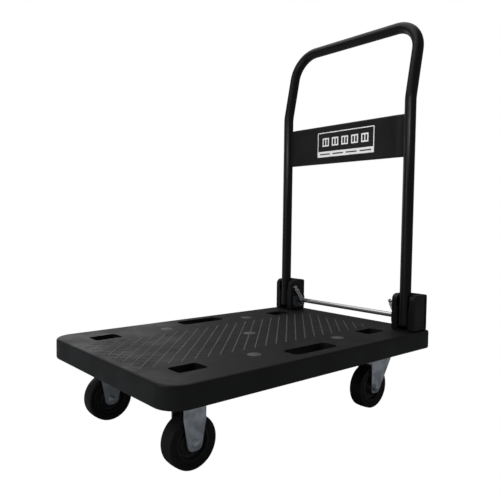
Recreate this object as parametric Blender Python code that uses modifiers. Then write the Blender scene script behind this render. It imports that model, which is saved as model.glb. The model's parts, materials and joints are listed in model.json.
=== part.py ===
"""Folding platform cart: a moulded deck on four casters with a push handle that folds flat.

Frame: origin on the floor under the middle of the deck, +X towards the handle, +Z up.
Left and right are those of a person who stands behind the handle, so left is -Y.
"""

import math

import bmesh
import bpy
from mathutils import Matrix, Vector

# Clearances
TOUCH = 0.0003
RUNNING = 0.0004
OVERRUN = 0.004
JOIN = 0.001

# Deck
DECK_LENGTH = 0.740
DECK_WIDTH = 0.480
DECK_TOP = 0.181
SKIRT_DEPTH = 0.043
SKIRT_WALL = 0.005
TOP_WALL = 0.004
RIB_WALL = 0.004
RIB_RECESS = 0.008
DRAFT = 0.001
FRONT_CORNER = 0.046
REAR_CORNER = 0.014
DECK_EDGE = 0.0035
FIELD_ROWS = 2

# Hand slots, blind pockets and caps in the deck
SLOT_LENGTH = 0.126
SLOT_WIDTH = 0.044
SLOT_FROM_EDGE = 0.048
SLOT_CORNER = 0.014
POCKET_LENGTH = 0.062
POCKET_WIDTH = 0.041
POCKET_DEPTH = 0.014
POCKET_CORNER = 0.006
POCKET_FROM_FRONT = 0.092
POCKET_FROM_REAR = 0.130
POCKET_FROM_EDGE = 0.0825
CAP_RADIUS = 0.0145
CAP_THICKNESS = 0.002
CAP_X = 0.1235
CAP_FROM_EDGE = 0.083

# Push handle
TUBE_RADIUS = 0.0133
TUBE_WALL = 0.0015
TUBE_SIDES = 16
HANDLE_FROM_REAR = 0.054
HANDLE_FROM_EDGE = 0.038
HANDLE_TOP = 0.9137
HANDLE_KINK = 0.731
HANDLE_LEAN = 0.0367
HANDLE_BEND = 0.067
KINK_BEND = 0.080
FOLD_ABOVE_DECK = 0.026
TUBE_BELOW_FOLD = 0.013
FOOT_RADIUS = 0.0195
FOOT_WIDTH = 0.022
FOOT_PLUG = 0.008

# Panel between the handle's legs
PANEL_BOTTOM = 0.5945
PANEL_HEIGHT = 0.101
PANEL_SHEET = 0.002
PANEL_FLANGE = 0.010
LABEL_LENGTH = 0.187
LABEL_HEIGHT = 0.066
LABEL_THICKNESS = 0.0006
LABEL_Y = -0.011
LABEL_CORNER = 0.003

# Hinge seats
SEAT_AHEAD = 0.010
SEAT_BEHIND = 0.045
SEAT_HALF_WIDTH = 0.032
SEAT_HEIGHT = 0.086
SEAT_ROUND = 0.0275
SEAT_REAR_ROUND = 0.004
SEAT_EDGE = 0.003
SEAT_WALL = 0.0025
SEAT_REAR_WALL = 0.0062
CHEEK_SHEET = 0.0025
CHEEK_HEIGHT = 0.056
BOLT_RADIUS = 0.003
BOLT_HEAD_RADIUS = 0.0058
BOLT_HEAD_HEIGHT = 0.0042
PIN_RADIUS = 0.0028
PIN_AHEAD = 0.0025
PIN_ABOVE = 0.0405
PIN_LENGTH = 0.013
SCREW_RADIUS = 0.0025
SCREW_HEAD = 0.0048
SCREW_HEAD_HEIGHT = 0.0025

# Release rod with its springs and guides
ROD_RADIUS = 0.006
ROD_BEHIND = 0.0255
ROD_ABOVE = 0.0015
ROD_TRAVEL = 0.008
ROD_END = 0.0125
ROD_EDGE = 0.001
GUIDE_THICKNESS = 0.0025
GUIDE_MARGIN = 0.006
SPRING_RADIUS = 0.0045
SPRING_WIRE = 0.0009
SPRING_TURNS = 9
SPRING_GAP = 0.0012

# Casters
WHEEL_RADIUS = 0.050
TYRE_WIDTH = 0.032
TYRE_SHOULDER = 0.003
TYRE_CROWN = 0.0014
TYRE_FOOT = 0.004
RIM_RADIUS = 0.0335
RIM_WIDTH = 0.029
RIM_BAND = 0.004
RIM_WEB = 0.008
HUB_RADIUS = 0.013
HUB_WIDTH = 0.0345
FIXED_FROM_FRONT = 0.096
SWIVEL_FROM_REAR = 0.095
CASTER_FROM_EDGE = 0.084
TRAIL = 0.035
FORK_SHEET = 0.0025
FORK_INSIDE = 0.018
FORK_BEND = 0.006
FORK_FOOT = 0.0135
FORK_SHOULDER = 0.020
FIXED_LEG_TOP = 0.047
FIXED_SHOULDER = 0.040
SWIVEL_CROWN_FRONT = 0.047
SWIVEL_CROWN_REAR = 0.029
PLATE_LENGTH = 0.100
PLATE_WIDTH = 0.076
PLATE_THICKNESS = 0.003
PLATE_CORNER = 0.008
RACE_RADIUS = 0.027
RACE_HEIGHT = 0.008
KINGPIN_RADIUS = 0.006
KINGPIN_HEAD = 0.010
KINGPIN_HEAD_HEIGHT = 0.003
AXLE_RADIUS = 0.0045
AXLE_HEAD_RADIUS = 0.0075
AXLE_HEAD_HEIGHT = 0.0045

# Values that follow from those above
SLOT_Y = DECK_WIDTH / 2 - SLOT_FROM_EDGE
POCKET_FRONT_X = POCKET_FROM_FRONT - DECK_LENGTH / 2
POCKET_REAR_X = DECK_LENGTH / 2 - POCKET_FROM_REAR
POCKET_Y = DECK_WIDTH / 2 - POCKET_FROM_EDGE
CAP_Y = DECK_WIDTH / 2 - CAP_FROM_EDGE
HANDLE_X = DECK_LENGTH / 2 - HANDLE_FROM_REAR
HANDLE_Y = DECK_WIDTH / 2 - HANDLE_FROM_EDGE
FOLD_Z = DECK_TOP + FOLD_ABOVE_DECK
SEAT_FRONT = HANDLE_X - SEAT_AHEAD
SEAT_REAR = HANDLE_X + SEAT_BEHIND
PIN_X = HANDLE_X - PIN_AHEAD
PIN_Z = FOLD_Z + PIN_ABOVE
ROD_X = HANDLE_X + ROD_BEHIND
ROD_Z = FOLD_Z + ROD_ABOVE
FIXED_X = FIXED_FROM_FRONT - DECK_LENGTH / 2
SWIVEL_X = DECK_LENGTH / 2 - SWIVEL_FROM_REAR
CASTER_Y = DECK_WIDTH / 2 - CASTER_FROM_EDGE
SKIRT_BOTTOM = DECK_TOP - SKIRT_DEPTH
RIB_BOTTOM = SKIRT_BOTTOM + RIB_RECESS
INNER_X = DECK_LENGTH / 2 - SKIRT_WALL
INNER_Y = DECK_WIDTH / 2 - SKIRT_WALL
PLATE_TOP = RIB_BOTTOM - TOUCH
PLATE_BOTTOM = PLATE_TOP - PLATE_THICKNESS
CROWN_TOP = PLATE_BOTTOM - RACE_HEIGHT - 2 * TOUCH
SEAT_BOTTOM = DECK_TOP + TOUCH
SEAT_TOP = SEAT_BOTTOM + SEAT_HEIGHT
CHEEK_INSIDE = TUBE_RADIUS + 3 * RUNNING
CHEEK_OUTSIDE = CHEEK_INSIDE + CHEEK_SHEET
SEAT_INSIDE = CHEEK_OUTSIDE + TOUCH
CHEEK_REAR = SEAT_REAR - SEAT_REAR_WALL - TOUCH
SCREW_X = CHEEK_REAR - SCREW_HEAD - 2 * RUNNING
TUBE_BOTTOM = FOLD_Z - TUBE_BELOW_FOLD
SEAT_INNER_Y = HANDLE_Y - SEAT_HALF_WIDTH
GUIDE_OUTER_Y = SEAT_INNER_Y - TOUCH
GUIDE_INNER_Y = GUIDE_OUTER_Y - GUIDE_THICKNESS
SPRING_Y = GUIDE_INNER_Y - SPRING_RADIUS - SPRING_WIRE - SPRING_GAP
ROD_HALF = HANDLE_Y - ROD_END
SIDES = {"left": -1, "right": 1}


def clear_scene():
    for obj in list(bpy.data.objects):
        bpy.data.objects.remove(obj, do_unlink=True)


def new_collection(name):
    made = bpy.data.collections.new(name)
    bpy.context.scene.collection.children.link(made)
    return made


def make_material(name, colour, roughness, metallic=0.0):
    material = bpy.data.materials.new(name)
    material.use_nodes = True
    shader = material.node_tree.nodes["Principled BSDF"]
    shader.inputs["Base Color"].default_value = (*colour, 1.0)
    shader.inputs["Roughness"].default_value = roughness
    shader.inputs["Metallic"].default_value = metallic
    material.diffuse_color = (*colour, 1.0)
    return material


def place(name, data, at, material=None, parent=None, turn=(0.0, 0.0, 0.0)):
    """Adds a part at a world position; a parent is an empty that stands upright on a joint's axis."""
    part = bpy.data.objects.new(name, data)
    PARTS.objects.link(part)
    part.rotation_euler = turn
    part.location = Vector(at)
    if parent is not None:
        part.parent = parent
        part.location = Vector(at) - parent.location
    if material is not None:
        part.data.materials.append(material)
    return part


def axis_empty(name, at):
    empty = bpy.data.objects.new(name, None)
    PARTS.objects.link(empty)
    empty.location = at
    empty.empty_display_size = 0.03
    return empty


def cutter(name, mesh, at=(0.0, 0.0, 0.0)):
    tool = bpy.data.objects.new(name, mesh)
    CUTTERS.objects.link(tool)
    tool.location = at
    tool.hide_render = True
    tool.display_type = "WIRE"
    return tool


def boolean(part, tool, operation="DIFFERENCE"):
    step = part.modifiers.new(tool.name, "BOOLEAN")
    step.operation = operation
    step.solver = "EXACT"
    step.object = tool


def bevel(part, width, segments):
    step = part.modifiers.new("edges", "BEVEL")
    step.width = width
    step.segments = segments
    step.limit_method = "ANGLE"
    step.angle_limit = math.radians(40)


def smooth(part, angle=35):
    part.data.shade_smooth()
    part.data.set_sharp_from_angle(angle=math.radians(angle))


def rounded(corners, steps=4):
    """The outline through corners (x, y, radius), each corner turned by an arc of its radius."""
    points = []
    for index, (x, y, radius) in enumerate(corners):
        here = Vector((x, y))
        if radius == 0:
            points.append(here)
            continue
        back = (Vector(corners[index - 1][:2]) - here).normalized()
        ahead = (Vector(corners[(index + 1) % len(corners)][:2]) - here).normalized()
        half = back.angle(ahead) / 2
        centre = here + (back + ahead).normalized() * (radius / math.sin(half))
        start = here + back * (radius / math.tan(half)) - centre
        end = here + ahead * (radius / math.tan(half)) - centre
        first = math.atan2(start.y, start.x)
        sweep = math.atan2(end.y, end.x) - first
        sweep = (sweep + math.pi) % (2 * math.pi) - math.pi
        for step in range(steps + 1):
            angle = first + sweep * step / steps
            points.append(centre + radius * Vector((math.cos(angle), math.sin(angle))))
    return points


def rectangle(length, width, radius, at=(0.0, 0.0)):
    x, y = length / 2, width / 2
    corners = [(-x, -y), (x, -y), (x, y), (-x, y)]
    return [(at[0] + a, at[1] + b, radius) for a, b in corners]


def stadium(start, end, radius, steps=8):
    """The outline of a slot with round ends between two centres."""
    along = Vector(end) - Vector(start)
    first = math.atan2(along.y, along.x) - math.pi / 2
    points = []
    for centre, begin in ((end, first), (start, first + math.pi)):
        for step in range(steps + 1):
            angle = begin + math.pi * step / steps
            points.append(Vector(centre) + radius * Vector((math.cos(angle), math.sin(angle))))
    return points


def plane_matrix(plane):
    """Turns an outline drawn in XY into the XZ plane (thick along Y) or the YZ plane (thick along X)."""
    if plane == "XZ":
        return Matrix.Rotation(math.pi / 2, 4, "X")
    if plane == "YZ":
        return Matrix(((0, 0, 1, 0), (1, 0, 0, 0), (0, 1, 0, 0), (0, 0, 0, 1)))
    return Matrix.Identity(4)


def welded(curve):
    """The mesh of a curve object, with its caps welded on; the curve is removed."""
    bpy.context.view_layer.update()
    graph = bpy.context.evaluated_depsgraph_get()
    mesh = bpy.data.meshes.new_from_object(curve.evaluated_get(graph))
    bpy.data.objects.remove(curve, do_unlink=True)
    shape = bmesh.new()
    shape.from_mesh(mesh)
    bmesh.ops.remove_doubles(shape, verts=shape.verts, dist=1e-6)
    return mesh, shape


def plate(name, outline, thickness, plane="XY"):
    """A flat plate of an outline, centred on its plane."""
    data = bpy.data.curves.new(name, "CURVE")
    data.dimensions = "2D"
    data.fill_mode = "BOTH"
    data.extrude = thickness / 2
    spline = data.splines.new("POLY")
    spline.points.add(len(outline) - 1)
    for point, (x, y) in zip(spline.points, outline):
        point.co = (x, y, 0, 1)
    spline.use_cyclic_u = True
    curve = bpy.data.objects.new(name, data)
    bpy.context.scene.collection.objects.link(curve)
    mesh, shape = welded(curve)
    bmesh.ops.dissolve_limit(shape, angle_limit=0.01, verts=shape.verts, edges=shape.edges)
    bmesh.ops.transform(shape, matrix=plane_matrix(plane), verts=shape.verts)
    bmesh.ops.recalc_face_normals(shape, faces=shape.faces)
    shape.to_mesh(mesh)
    shape.free()
    mesh.name = name
    return mesh


def boxes(name, bounds):
    """One mesh of separate boxes, each given as (low corner, high corner)."""
    mesh = bpy.data.meshes.new(name)
    shape = bmesh.new()
    for low, high in bounds:
        low, high = Vector(low), Vector(high)
        size = Matrix.Diagonal((*(high - low), 1.0))
        bmesh.ops.create_cube(shape, size=1.0, matrix=Matrix.Translation((low + high) / 2) @ size)
    shape.to_mesh(mesh)
    shape.free()
    return mesh


def cylinder(name, radius, length, axis="Z", segments=24):
    mesh = bpy.data.meshes.new(name)
    shape = bmesh.new()
    bmesh.ops.create_cone(
        shape, cap_ends=True, segments=segments, radius1=radius, radius2=radius, depth=length
    )
    if axis == "Y":
        bmesh.ops.rotate(shape, matrix=Matrix.Rotation(-math.pi / 2, 3, "X"), verts=shape.verts)
    shape.to_mesh(mesh)
    shape.free()
    return mesh


def turned(part, steps=24):
    """Turns the part's profile round its local Z axis."""
    step = part.modifiers.new("turn", "SCREW")
    step.axis = "Z"
    step.angle = math.tau
    step.steps = steps
    step.render_steps = steps
    step.use_merge_vertices = True
    step.merge_threshold = 0.00001
    step.use_smooth_shade = True


def profile(name, points, closed):
    """A mesh of edges through points (radius, height), for turning."""
    mesh = bpy.data.meshes.new(name)
    count = len(points)
    edges = [(index, index + 1) for index in range(count - 1)]
    if closed:
        edges.append((count - 1, 0))
    mesh.from_pydata([(radius, 0.0, height) for radius, height in points], edges, [])
    return mesh


# ---------------------------------------------------------------- deck


def deck_outline():
    x, y = DECK_LENGTH / 2, DECK_WIDTH / 2
    corners = [
        (-x, -y, FRONT_CORNER),
        (x, -y, REAR_CORNER),
        (x, y, REAR_CORNER),
        (-x, y, FRONT_CORNER),
    ]
    return rounded(corners, steps=6)


def inner_outline(inset=0.0):
    """The inside of the skirt, or an outline that far inside it."""
    x, y = INNER_X - inset, INNER_Y - inset
    front = FRONT_CORNER - SKIRT_WALL - inset
    rear = REAR_CORNER - SKIRT_WALL - inset
    return rounded([(-x, -y, front), (x, -y, rear), (x, y, rear), (-x, y, front)], steps=6)


def rib_lines():
    """Where the cross ribs stand, along X: beside each pocket and hand slot, and between them."""
    half_pocket = POCKET_LENGTH / 2 + RIB_WALL / 2
    half_slot = SLOT_LENGTH / 2 + RIB_WALL / 2
    front, rear = POCKET_FRONT_X, POCKET_REAR_X
    between_front = (front + half_pocket - half_slot) / 2
    between_rear = (rear - half_pocket + half_slot) / 2
    return [
        -INNER_X,
        front - half_pocket,
        front + half_pocket,
        between_front,
        -half_slot,
        half_slot,
        between_rear,
        rear - half_pocket,
        rear + half_pocket,
        INNER_X,
    ]


def side_cells(middle):
    """The spans in Y, with their ceiling, of the open cells beside the field, by the bay's middle in X."""
    field = POCKET_Y - POCKET_WIDTH / 2 - RIB_WALL / 2
    pocket_edge = POCKET_Y + POCKET_WIDTH / 2 + RIB_WALL / 2
    slot_in = SLOT_Y - SLOT_WIDTH / 2 - RIB_WALL / 2
    slot_out = SLOT_Y + SLOT_WIDTH / 2 + RIB_WALL / 2
    ceiling = DECK_TOP - TOP_WALL
    if abs(middle) < SLOT_LENGTH / 2:
        return [(field, slot_in, ceiling), (slot_out, INNER_Y, ceiling)]
    if min(abs(middle - POCKET_FRONT_X), abs(middle - POCKET_REAR_X)) < POCKET_LENGTH / 2:
        return [(field, pocket_edge, ceiling - POCKET_DEPTH), (pocket_edge, INNER_Y, ceiling)]
    return [(field, INNER_Y, ceiling)]


def underside_cells():
    """The boxes between the ribs under the deck, which keep a rib's wall between them."""
    lines = rib_lines()
    field = POCKET_Y - POCKET_WIDTH / 2 - RIB_WALL / 2
    rows = [
        (field * row / FIELD_ROWS, field * (row + 1) / FIELD_ROWS, DECK_TOP - TOP_WALL)
        for row in range(FIELD_ROWS)
    ]
    low = RIB_BOTTOM - OVERRUN
    gap = RIB_WALL / 2
    found = []
    for index in range(len(lines) - 1):
        left = lines[index] + gap * (index > 0)
        right = lines[index + 1] - gap * (index < len(lines) - 2)
        for near, far, ceiling in rows + side_cells((left + right) / 2):
            start = near + gap
            end = far - gap * (far < INNER_Y)
            found.append(((left, start, low), (right, end, ceiling)))
            found.append(((left, -end, low), (right, -start, ceiling)))
    return found


def deck_cutters():
    recess_height = RIB_RECESS + OVERRUN
    recess = plate("recess", inner_outline(), recess_height)
    yield cutter("cut_recess", recess, (0, 0, RIB_BOTTOM - recess_height / 2))
    cells = cutter("cut_cells", boxes("cells", underside_cells()))
    keep = plate("cell_bounds", inner_outline(DRAFT), 2 * SKIRT_DEPTH)
    boolean(cells, cutter("cell_bounds", keep, (0, 0, DECK_TOP)), "INTERSECT")
    yield cells
    through = SKIRT_DEPTH + 2 * OVERRUN
    for name, side in SIDES.items():
        outline = rounded(rectangle(SLOT_LENGTH, SLOT_WIDTH, SLOT_CORNER), steps=5)
        at = (0, side * SLOT_Y, DECK_TOP + OVERRUN - through / 2)
        yield cutter(f"cut_hand_slot_{name}", plate("hand_slot", outline, through), at)
        for end, x in (("front", POCKET_FRONT_X), ("rear", POCKET_REAR_X)):
            outline = rounded(rectangle(POCKET_LENGTH, POCKET_WIDTH, POCKET_CORNER), steps=2)
            deep = POCKET_DEPTH + OVERRUN
            at = (x, side * POCKET_Y, DECK_TOP - POCKET_DEPTH + deep / 2)
            yield cutter(f"cut_pocket_{end}_{name}", plate("pocket", outline, deep), at)
    for name, x, y in cap_places():
        deep = CAP_THICKNESS + OVERRUN
        mesh = cylinder("cap_seat", CAP_RADIUS + TOUCH, deep)
        yield cutter(f"cut_seat_{name}", mesh, (x, y, DECK_TOP - CAP_THICKNESS - TOUCH + deep / 2))


def cap_places():
    return [
        ("front_left", -CAP_X, -CAP_Y),
        ("front_right", -CAP_X, CAP_Y),
        ("rear_left", CAP_X, -CAP_Y),
        ("rear_right", CAP_X, CAP_Y),
        ("middle", 0.0, 0.0),
    ]


def build_deck():
    mesh = plate("deck", deck_outline(), SKIRT_DEPTH)
    deck = place("deck", mesh, (0, 0, DECK_TOP - SKIRT_DEPTH / 2), GREY_PLASTIC)
    bevel(deck, DECK_EDGE, 3)
    for tool in deck_cutters():
        boolean(deck, tool)
    for name, x, y in cap_places():
        mesh = cylinder("cap", CAP_RADIUS, CAP_THICKNESS)
        place(f"deck_cap_{name}", mesh, (x, y, DECK_TOP - CAP_THICKNESS / 2), PALE_PLASTIC)


# ---------------------------------------------------------------- handle


def handle_path():
    """Points along the handle's centre line, up one leg, across the top and down the other."""
    lean = math.atan2(HANDLE_LEAN, HANDLE_TOP - HANDLE_KINK)
    reach = (HANDLE_TOP - HANDLE_KINK) / math.cos(lean)
    half_arc = KINK_BEND * math.tan(lean / 2)
    leg = [(0.0, TUBE_BOTTOM), (0.0, (TUBE_BOTTOM + HANDLE_KINK) / 2)]
    for step in range(5):
        angle = lean * step / 4
        x = KINK_BEND * (1 - math.cos(angle))
        leg.append((x, HANDLE_KINK - half_arc + KINK_BEND * math.sin(angle)))
    side = [(HANDLE_X + x, 0.0, z) for x, z in leg]
    straight = reach - HANDLE_BEND

    def on_slope(distance):
        return (HANDLE_X + distance * math.sin(lean), HANDLE_KINK + distance * math.cos(lean))

    corner = []
    for step in range(9):
        angle = math.pi / 2 * step / 8
        x, z = on_slope(straight + HANDLE_BEND * math.sin(angle))
        corner.append((x, HANDLE_BEND * (1 - math.cos(angle)), z))
    half = [(x, inset - HANDLE_Y, z) for x, inset, z in side + corner]
    return half + [(x, -y, z) for x, y, z in reversed(half)]


def tube_mesh(name, points, radius, sides, capped):
    data = bpy.data.curves.new(name, "CURVE")
    data.dimensions = "3D"
    data.bevel_depth = radius
    data.bevel_resolution = (sides - 4) // 2
    data.use_fill_caps = capped
    spline = data.splines.new("POLY")
    spline.points.add(len(points) - 1)
    for point, co in zip(spline.points, points):
        point.co = (*co, 1)
    curve = bpy.data.objects.new(name, data)
    bpy.context.scene.collection.objects.link(curve)
    mesh, shape = welded(curve)
    bmesh.ops.recalc_face_normals(shape, faces=shape.faces)
    shape.to_mesh(mesh)
    shape.free()
    return mesh


def build_handle():
    fold = axis_empty("handle_fold_axis", (HANDLE_X, 0, FOLD_Z))
    mesh = tube_mesh("handle_tube", handle_path(), TUBE_RADIUS, TUBE_SIDES, capped=False)
    mesh.transform(Matrix.Translation((-HANDLE_X, 0, -FOLD_Z)))
    tube = place("handle_tube", mesh, (HANDLE_X, 0, FOLD_Z), BLACK_PAINT, fold)
    wall = tube.modifiers.new("wall", "SOLIDIFY")
    wall.thickness = TUBE_WALL
    wall.offset = -1
    smooth(tube)
    for name, side in SIDES.items():
        y = side * HANDLE_Y
        hole = cylinder("bolt_hole", BOLT_RADIUS + RUNNING, 3 * TUBE_RADIUS, "Y", 16)
        boolean(tube, cutter(f"cut_bolt_hole_{name}", hole, (HANDLE_X, y, FOLD_Z)))
        build_foot(name, y, fold)
    build_panel(fold)


def build_foot(name, y, fold):
    """The shoe that closes a leg's lower end: a plug in the tube on a rounded tail."""
    top = TUBE_BOTTOM - TOUCH
    tail = cylinder("foot", FOOT_RADIUS, FOOT_WIDTH, "Y", 32)
    foot = place(f"handle_foot_{name}", tail, (HANDLE_X, y, FOLD_Z), BLACK_PLASTIC, fold)
    size = 2 * FOOT_RADIUS
    above = boxes("above_foot", [((-size, -size, top - FOLD_Z), (size, size, size))])
    boolean(foot, cutter(f"cut_foot_{name}", above, (HANDLE_X, y, FOLD_Z)))
    plug_radius = (TUBE_RADIUS - TUBE_WALL) * math.cos(math.pi / TUBE_SIDES) - TOUCH
    plug = cylinder("foot_plug", plug_radius, FOOT_PLUG, "Z", 24)
    at = (HANDLE_X, y, top - JOIN + FOOT_PLUG / 2)
    boolean(foot, cutter(f"join_foot_{name}", plug, at), "UNION")


def panel_outline():
    """The folded sheet's section in X and Z: a flat face with a flange back at top and bottom."""
    top = PANEL_BOTTOM + PANEL_HEIGHT
    front = HANDLE_X - PANEL_FLANGE / 2
    rear = front + PANEL_FLANGE
    inner = front + PANEL_SHEET
    return [
        (front, PANEL_BOTTOM),
        (rear, PANEL_BOTTOM),
        (rear, PANEL_BOTTOM + PANEL_SHEET),
        (inner, PANEL_BOTTOM + PANEL_SHEET),
        (inner, top - PANEL_SHEET),
        (rear, top - PANEL_SHEET),
        (rear, top),
        (front, top),
    ]


def build_panel(fold):
    width = 2 * (HANDLE_Y - TUBE_RADIUS - TOUCH)
    mesh = plate("handle_panel", panel_outline(), width, "XZ")
    mesh.transform(Matrix.Translation((-HANDLE_X, 0, -FOLD_Z)))
    place("handle_panel", mesh, (HANDLE_X, 0, FOLD_Z), BLACK_PAINT, fold)
    front = HANDLE_X - PANEL_FLANGE / 2 - TOUCH - LABEL_THICKNESS / 2
    outline = rounded(rectangle(LABEL_LENGTH, LABEL_HEIGHT, LABEL_CORNER), steps=2)
    middle = PANEL_BOTTOM + PANEL_HEIGHT / 2
    label = plate("panel_label", outline, LABEL_THICKNESS, "YZ")
    place("panel_label", label, (front, LABEL_Y, middle), LABEL_PRINT, fold)


# ---------------------------------------------------------------- hinge seats


def seat_outline():
    """The seat's side view in X and Z, with its front upper corner well rounded."""
    return rounded(
        [
            (SEAT_FRONT, SEAT_BOTTOM, 0),
            (SEAT_REAR, SEAT_BOTTOM, 0),
            (SEAT_REAR, SEAT_TOP, SEAT_REAR_ROUND),
            (SEAT_FRONT, SEAT_TOP, SEAT_ROUND),
        ],
        steps=6,
    )


def rod_direction():
    """The way the rod gives under a foot: away from the pins that hold its springs."""
    along = Vector((ROD_X - PIN_X, 0.0, ROD_Z - PIN_Z))
    return along.normalized()


def rod_slot(name, side):
    """The slot that the rod travels in, through everything on the seat's inner side."""
    end = Vector((ROD_X, ROD_Z)) + ROD_TRAVEL * Vector(rod_direction().xz)
    outline = stadium((ROD_X, ROD_Z), tuple(end), ROD_RADIUS + RUNNING)
    length = HANDLE_Y - GUIDE_INNER_Y
    middle = side * (HANDLE_Y + GUIDE_INNER_Y - OVERRUN) / 2
    mesh = plate("rod_slot", outline, length + OVERRUN, "XZ")
    return cutter(f"cut_rod_slot_{name}", mesh, (0, middle, 0))


def build_seat(name, side, slot):
    """The plastic shell over the hinge: two thick cheeks joined by a wall at the back."""
    y = side * HANDLE_Y
    mesh = plate("hinge_cover", seat_outline(), 2 * SEAT_HALF_WIDTH, "XZ")
    cover = place(f"hinge_cover_{name}", mesh, (0, y, 0), BLACK_PLASTIC)
    bevel(cover, SEAT_EDGE, 2)
    rear = SEAT_REAR - SEAT_REAR_WALL
    low, high = SEAT_BOTTOM - OVERRUN, SEAT_TOP + OVERRUN
    channel = boxes("channel", [((SEAT_FRONT - OVERRUN, -SEAT_INSIDE, low), (rear, SEAT_INSIDE, high))])
    boolean(cover, cutter(f"cut_channel_{name}", channel, (0, y, 0)))
    x0, x1 = SEAT_FRONT + SEAT_WALL, rear - SEAT_WALL
    y0, y1 = SEAT_INSIDE - OVERRUN, SEAT_HALF_WIDTH - SEAT_WALL
    top = SEAT_BOTTOM + CHEEK_HEIGHT - CHEEK_SHEET
    hollows = [((x0, y0, low), (x1, y1, top)), ((x0, -y1, low), (x1, -y0, top))]
    boolean(cover, cutter(f"cut_hollow_{name}", boxes("hollow", hollows), (0, y, 0)))
    boolean(cover, slot)


def build_base(name, side, slot):
    """The steel channel that the handle's leg turns in, screwed down to the deck."""
    y = side * HANDLE_Y
    top = SEAT_BOTTOM + CHEEK_HEIGHT
    floor = SEAT_BOTTOM + CHEEK_SHEET
    outline = [
        (-CHEEK_OUTSIDE, SEAT_BOTTOM),
        (CHEEK_OUTSIDE, SEAT_BOTTOM),
        (CHEEK_OUTSIDE, top),
        (CHEEK_INSIDE, top),
        (CHEEK_INSIDE, floor),
        (-CHEEK_INSIDE, floor),
        (-CHEEK_INSIDE, top),
        (-CHEEK_OUTSIDE, top),
    ]
    length = CHEEK_REAR - SEAT_FRONT
    mesh = plate("hinge_base", outline, length, "YZ")
    base = place(f"hinge_base_{name}", mesh, (SEAT_FRONT + length / 2, y, 0), BLACK_PAINT)
    hole = cylinder("pivot_hole", BOLT_RADIUS + TOUCH, 3 * CHEEK_OUTSIDE, "Y", 16)
    boolean(base, cutter(f"cut_pivot_hole_{name}", hole, (HANDLE_X, y, FOLD_Z)))
    hole = cylinder("screw_hole", SCREW_RADIUS + TOUCH, 4 * CHEEK_SHEET, "Z", 12)
    boolean(base, cutter(f"cut_screw_{name}", hole, (SCREW_X, y, SEAT_BOTTOM)))
    boolean(base, slot)


def build_pivot(name, side):
    """The bolt that the leg turns on: its head on the outer cheek, its nut on the inner one."""
    y = side * HANDLE_Y
    gap = CHEEK_OUTSIDE + TOUCH
    shank = 2 * gap + BOLT_HEAD_HEIGHT + JOIN
    mesh = cylinder("pivot_bolt", BOLT_RADIUS, shank, "Y", 16)
    middle = y - side * (BOLT_HEAD_HEIGHT - JOIN) / 2
    bolt = place(f"pivot_bolt_{name}", mesh, (HANDLE_X, middle, FOLD_Z), ZINC)
    head = cylinder("bolt_head", BOLT_HEAD_RADIUS, BOLT_HEAD_HEIGHT, "Y", 6)
    at = (HANDLE_X, y + side * (gap + BOLT_HEAD_HEIGHT / 2), FOLD_Z)
    boolean(bolt, cutter(f"join_bolt_head_{name}", head, at), "UNION")
    nut = cylinder("pivot_nut", BOLT_HEAD_RADIUS, BOLT_HEAD_HEIGHT - TOUCH, "Y", 6)
    at = (HANDLE_X, y - side * (gap + BOLT_HEAD_HEIGHT / 2), FOLD_Z)
    nut = place(f"pivot_nut_{name}", nut, at, ZINC)
    bore = cylinder("nut_bore", BOLT_RADIUS + TOUCH, 3 * BOLT_HEAD_HEIGHT, "Y", 16)
    boolean(nut, cutter(f"cut_nut_bore_{name}", bore, at))


def build_guide(name, side, slot):
    """The zinc plate on the seat's inner face, whose slot guides the release rod."""
    end = Vector((ROD_X, ROD_Z)) + ROD_TRAVEL * Vector(rod_direction().xz)
    wide = ROD_RADIUS + GUIDE_MARGIN
    low = end.y - wide
    front = PIN_X - PIN_RADIUS
    rear = min(end.x + wide, SEAT_REAR - SEAT_EDGE)
    corners = [
        (front, low, wide),
        (rear, low, wide / 2),
        (rear, ROD_Z + wide, wide / 4),
        (front, ROD_Z + wide, wide / 4),
    ]
    mesh = plate("rod_guide", rounded(corners, steps=4), GUIDE_THICKNESS, "XZ")
    y = side * (GUIDE_OUTER_Y - GUIDE_THICKNESS / 2)
    guide = place(f"rod_guide_{name}", mesh, (0, y, 0), ZINC)
    boolean(guide, slot)


def build_spring(name, side):
    """The extension spring that pulls the rod up, drawn at rest, with straight tails."""
    along = rod_direction()
    top = Vector((PIN_X, 0, PIN_Z)) + along * (PIN_RADIUS + SPRING_WIRE + TOUCH)
    bottom = Vector((ROD_X, 0, ROD_Z)) - along * (ROD_RADIUS + SPRING_WIRE + TOUCH)
    span = bottom - top
    across = Vector((0, 1, 0))
    third = along.cross(across)
    coil = SPRING_RADIUS - SPRING_WIRE
    tail = 3 * SPRING_WIRE
    steps = SPRING_TURNS * 9
    points = [Vector((0, 0, 0))]
    for step in range(steps + 1):
        share = step / steps
        angle = math.tau * SPRING_TURNS * share
        middle = along * (tail + (span.length - 2 * tail) * share)
        points.append(middle + coil * (across * math.cos(angle) + third * math.sin(angle)))
    points.append(span)
    mesh = tube_mesh("release_spring", points, SPRING_WIRE, 4, capped=True)
    at = (top.x, side * SPRING_Y, top.z)
    spring = place(f"release_spring_{name}", mesh, at, ZINC)
    smooth(spring, 60)
    pin = cylinder("spring_pin", PIN_RADIUS, PIN_LENGTH, "Y", 16)
    y = side * (SEAT_INNER_Y - TOUCH - PIN_LENGTH / 2)
    place(f"spring_pin_{name}", pin, (PIN_X, y, PIN_Z), ZINC)


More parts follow.
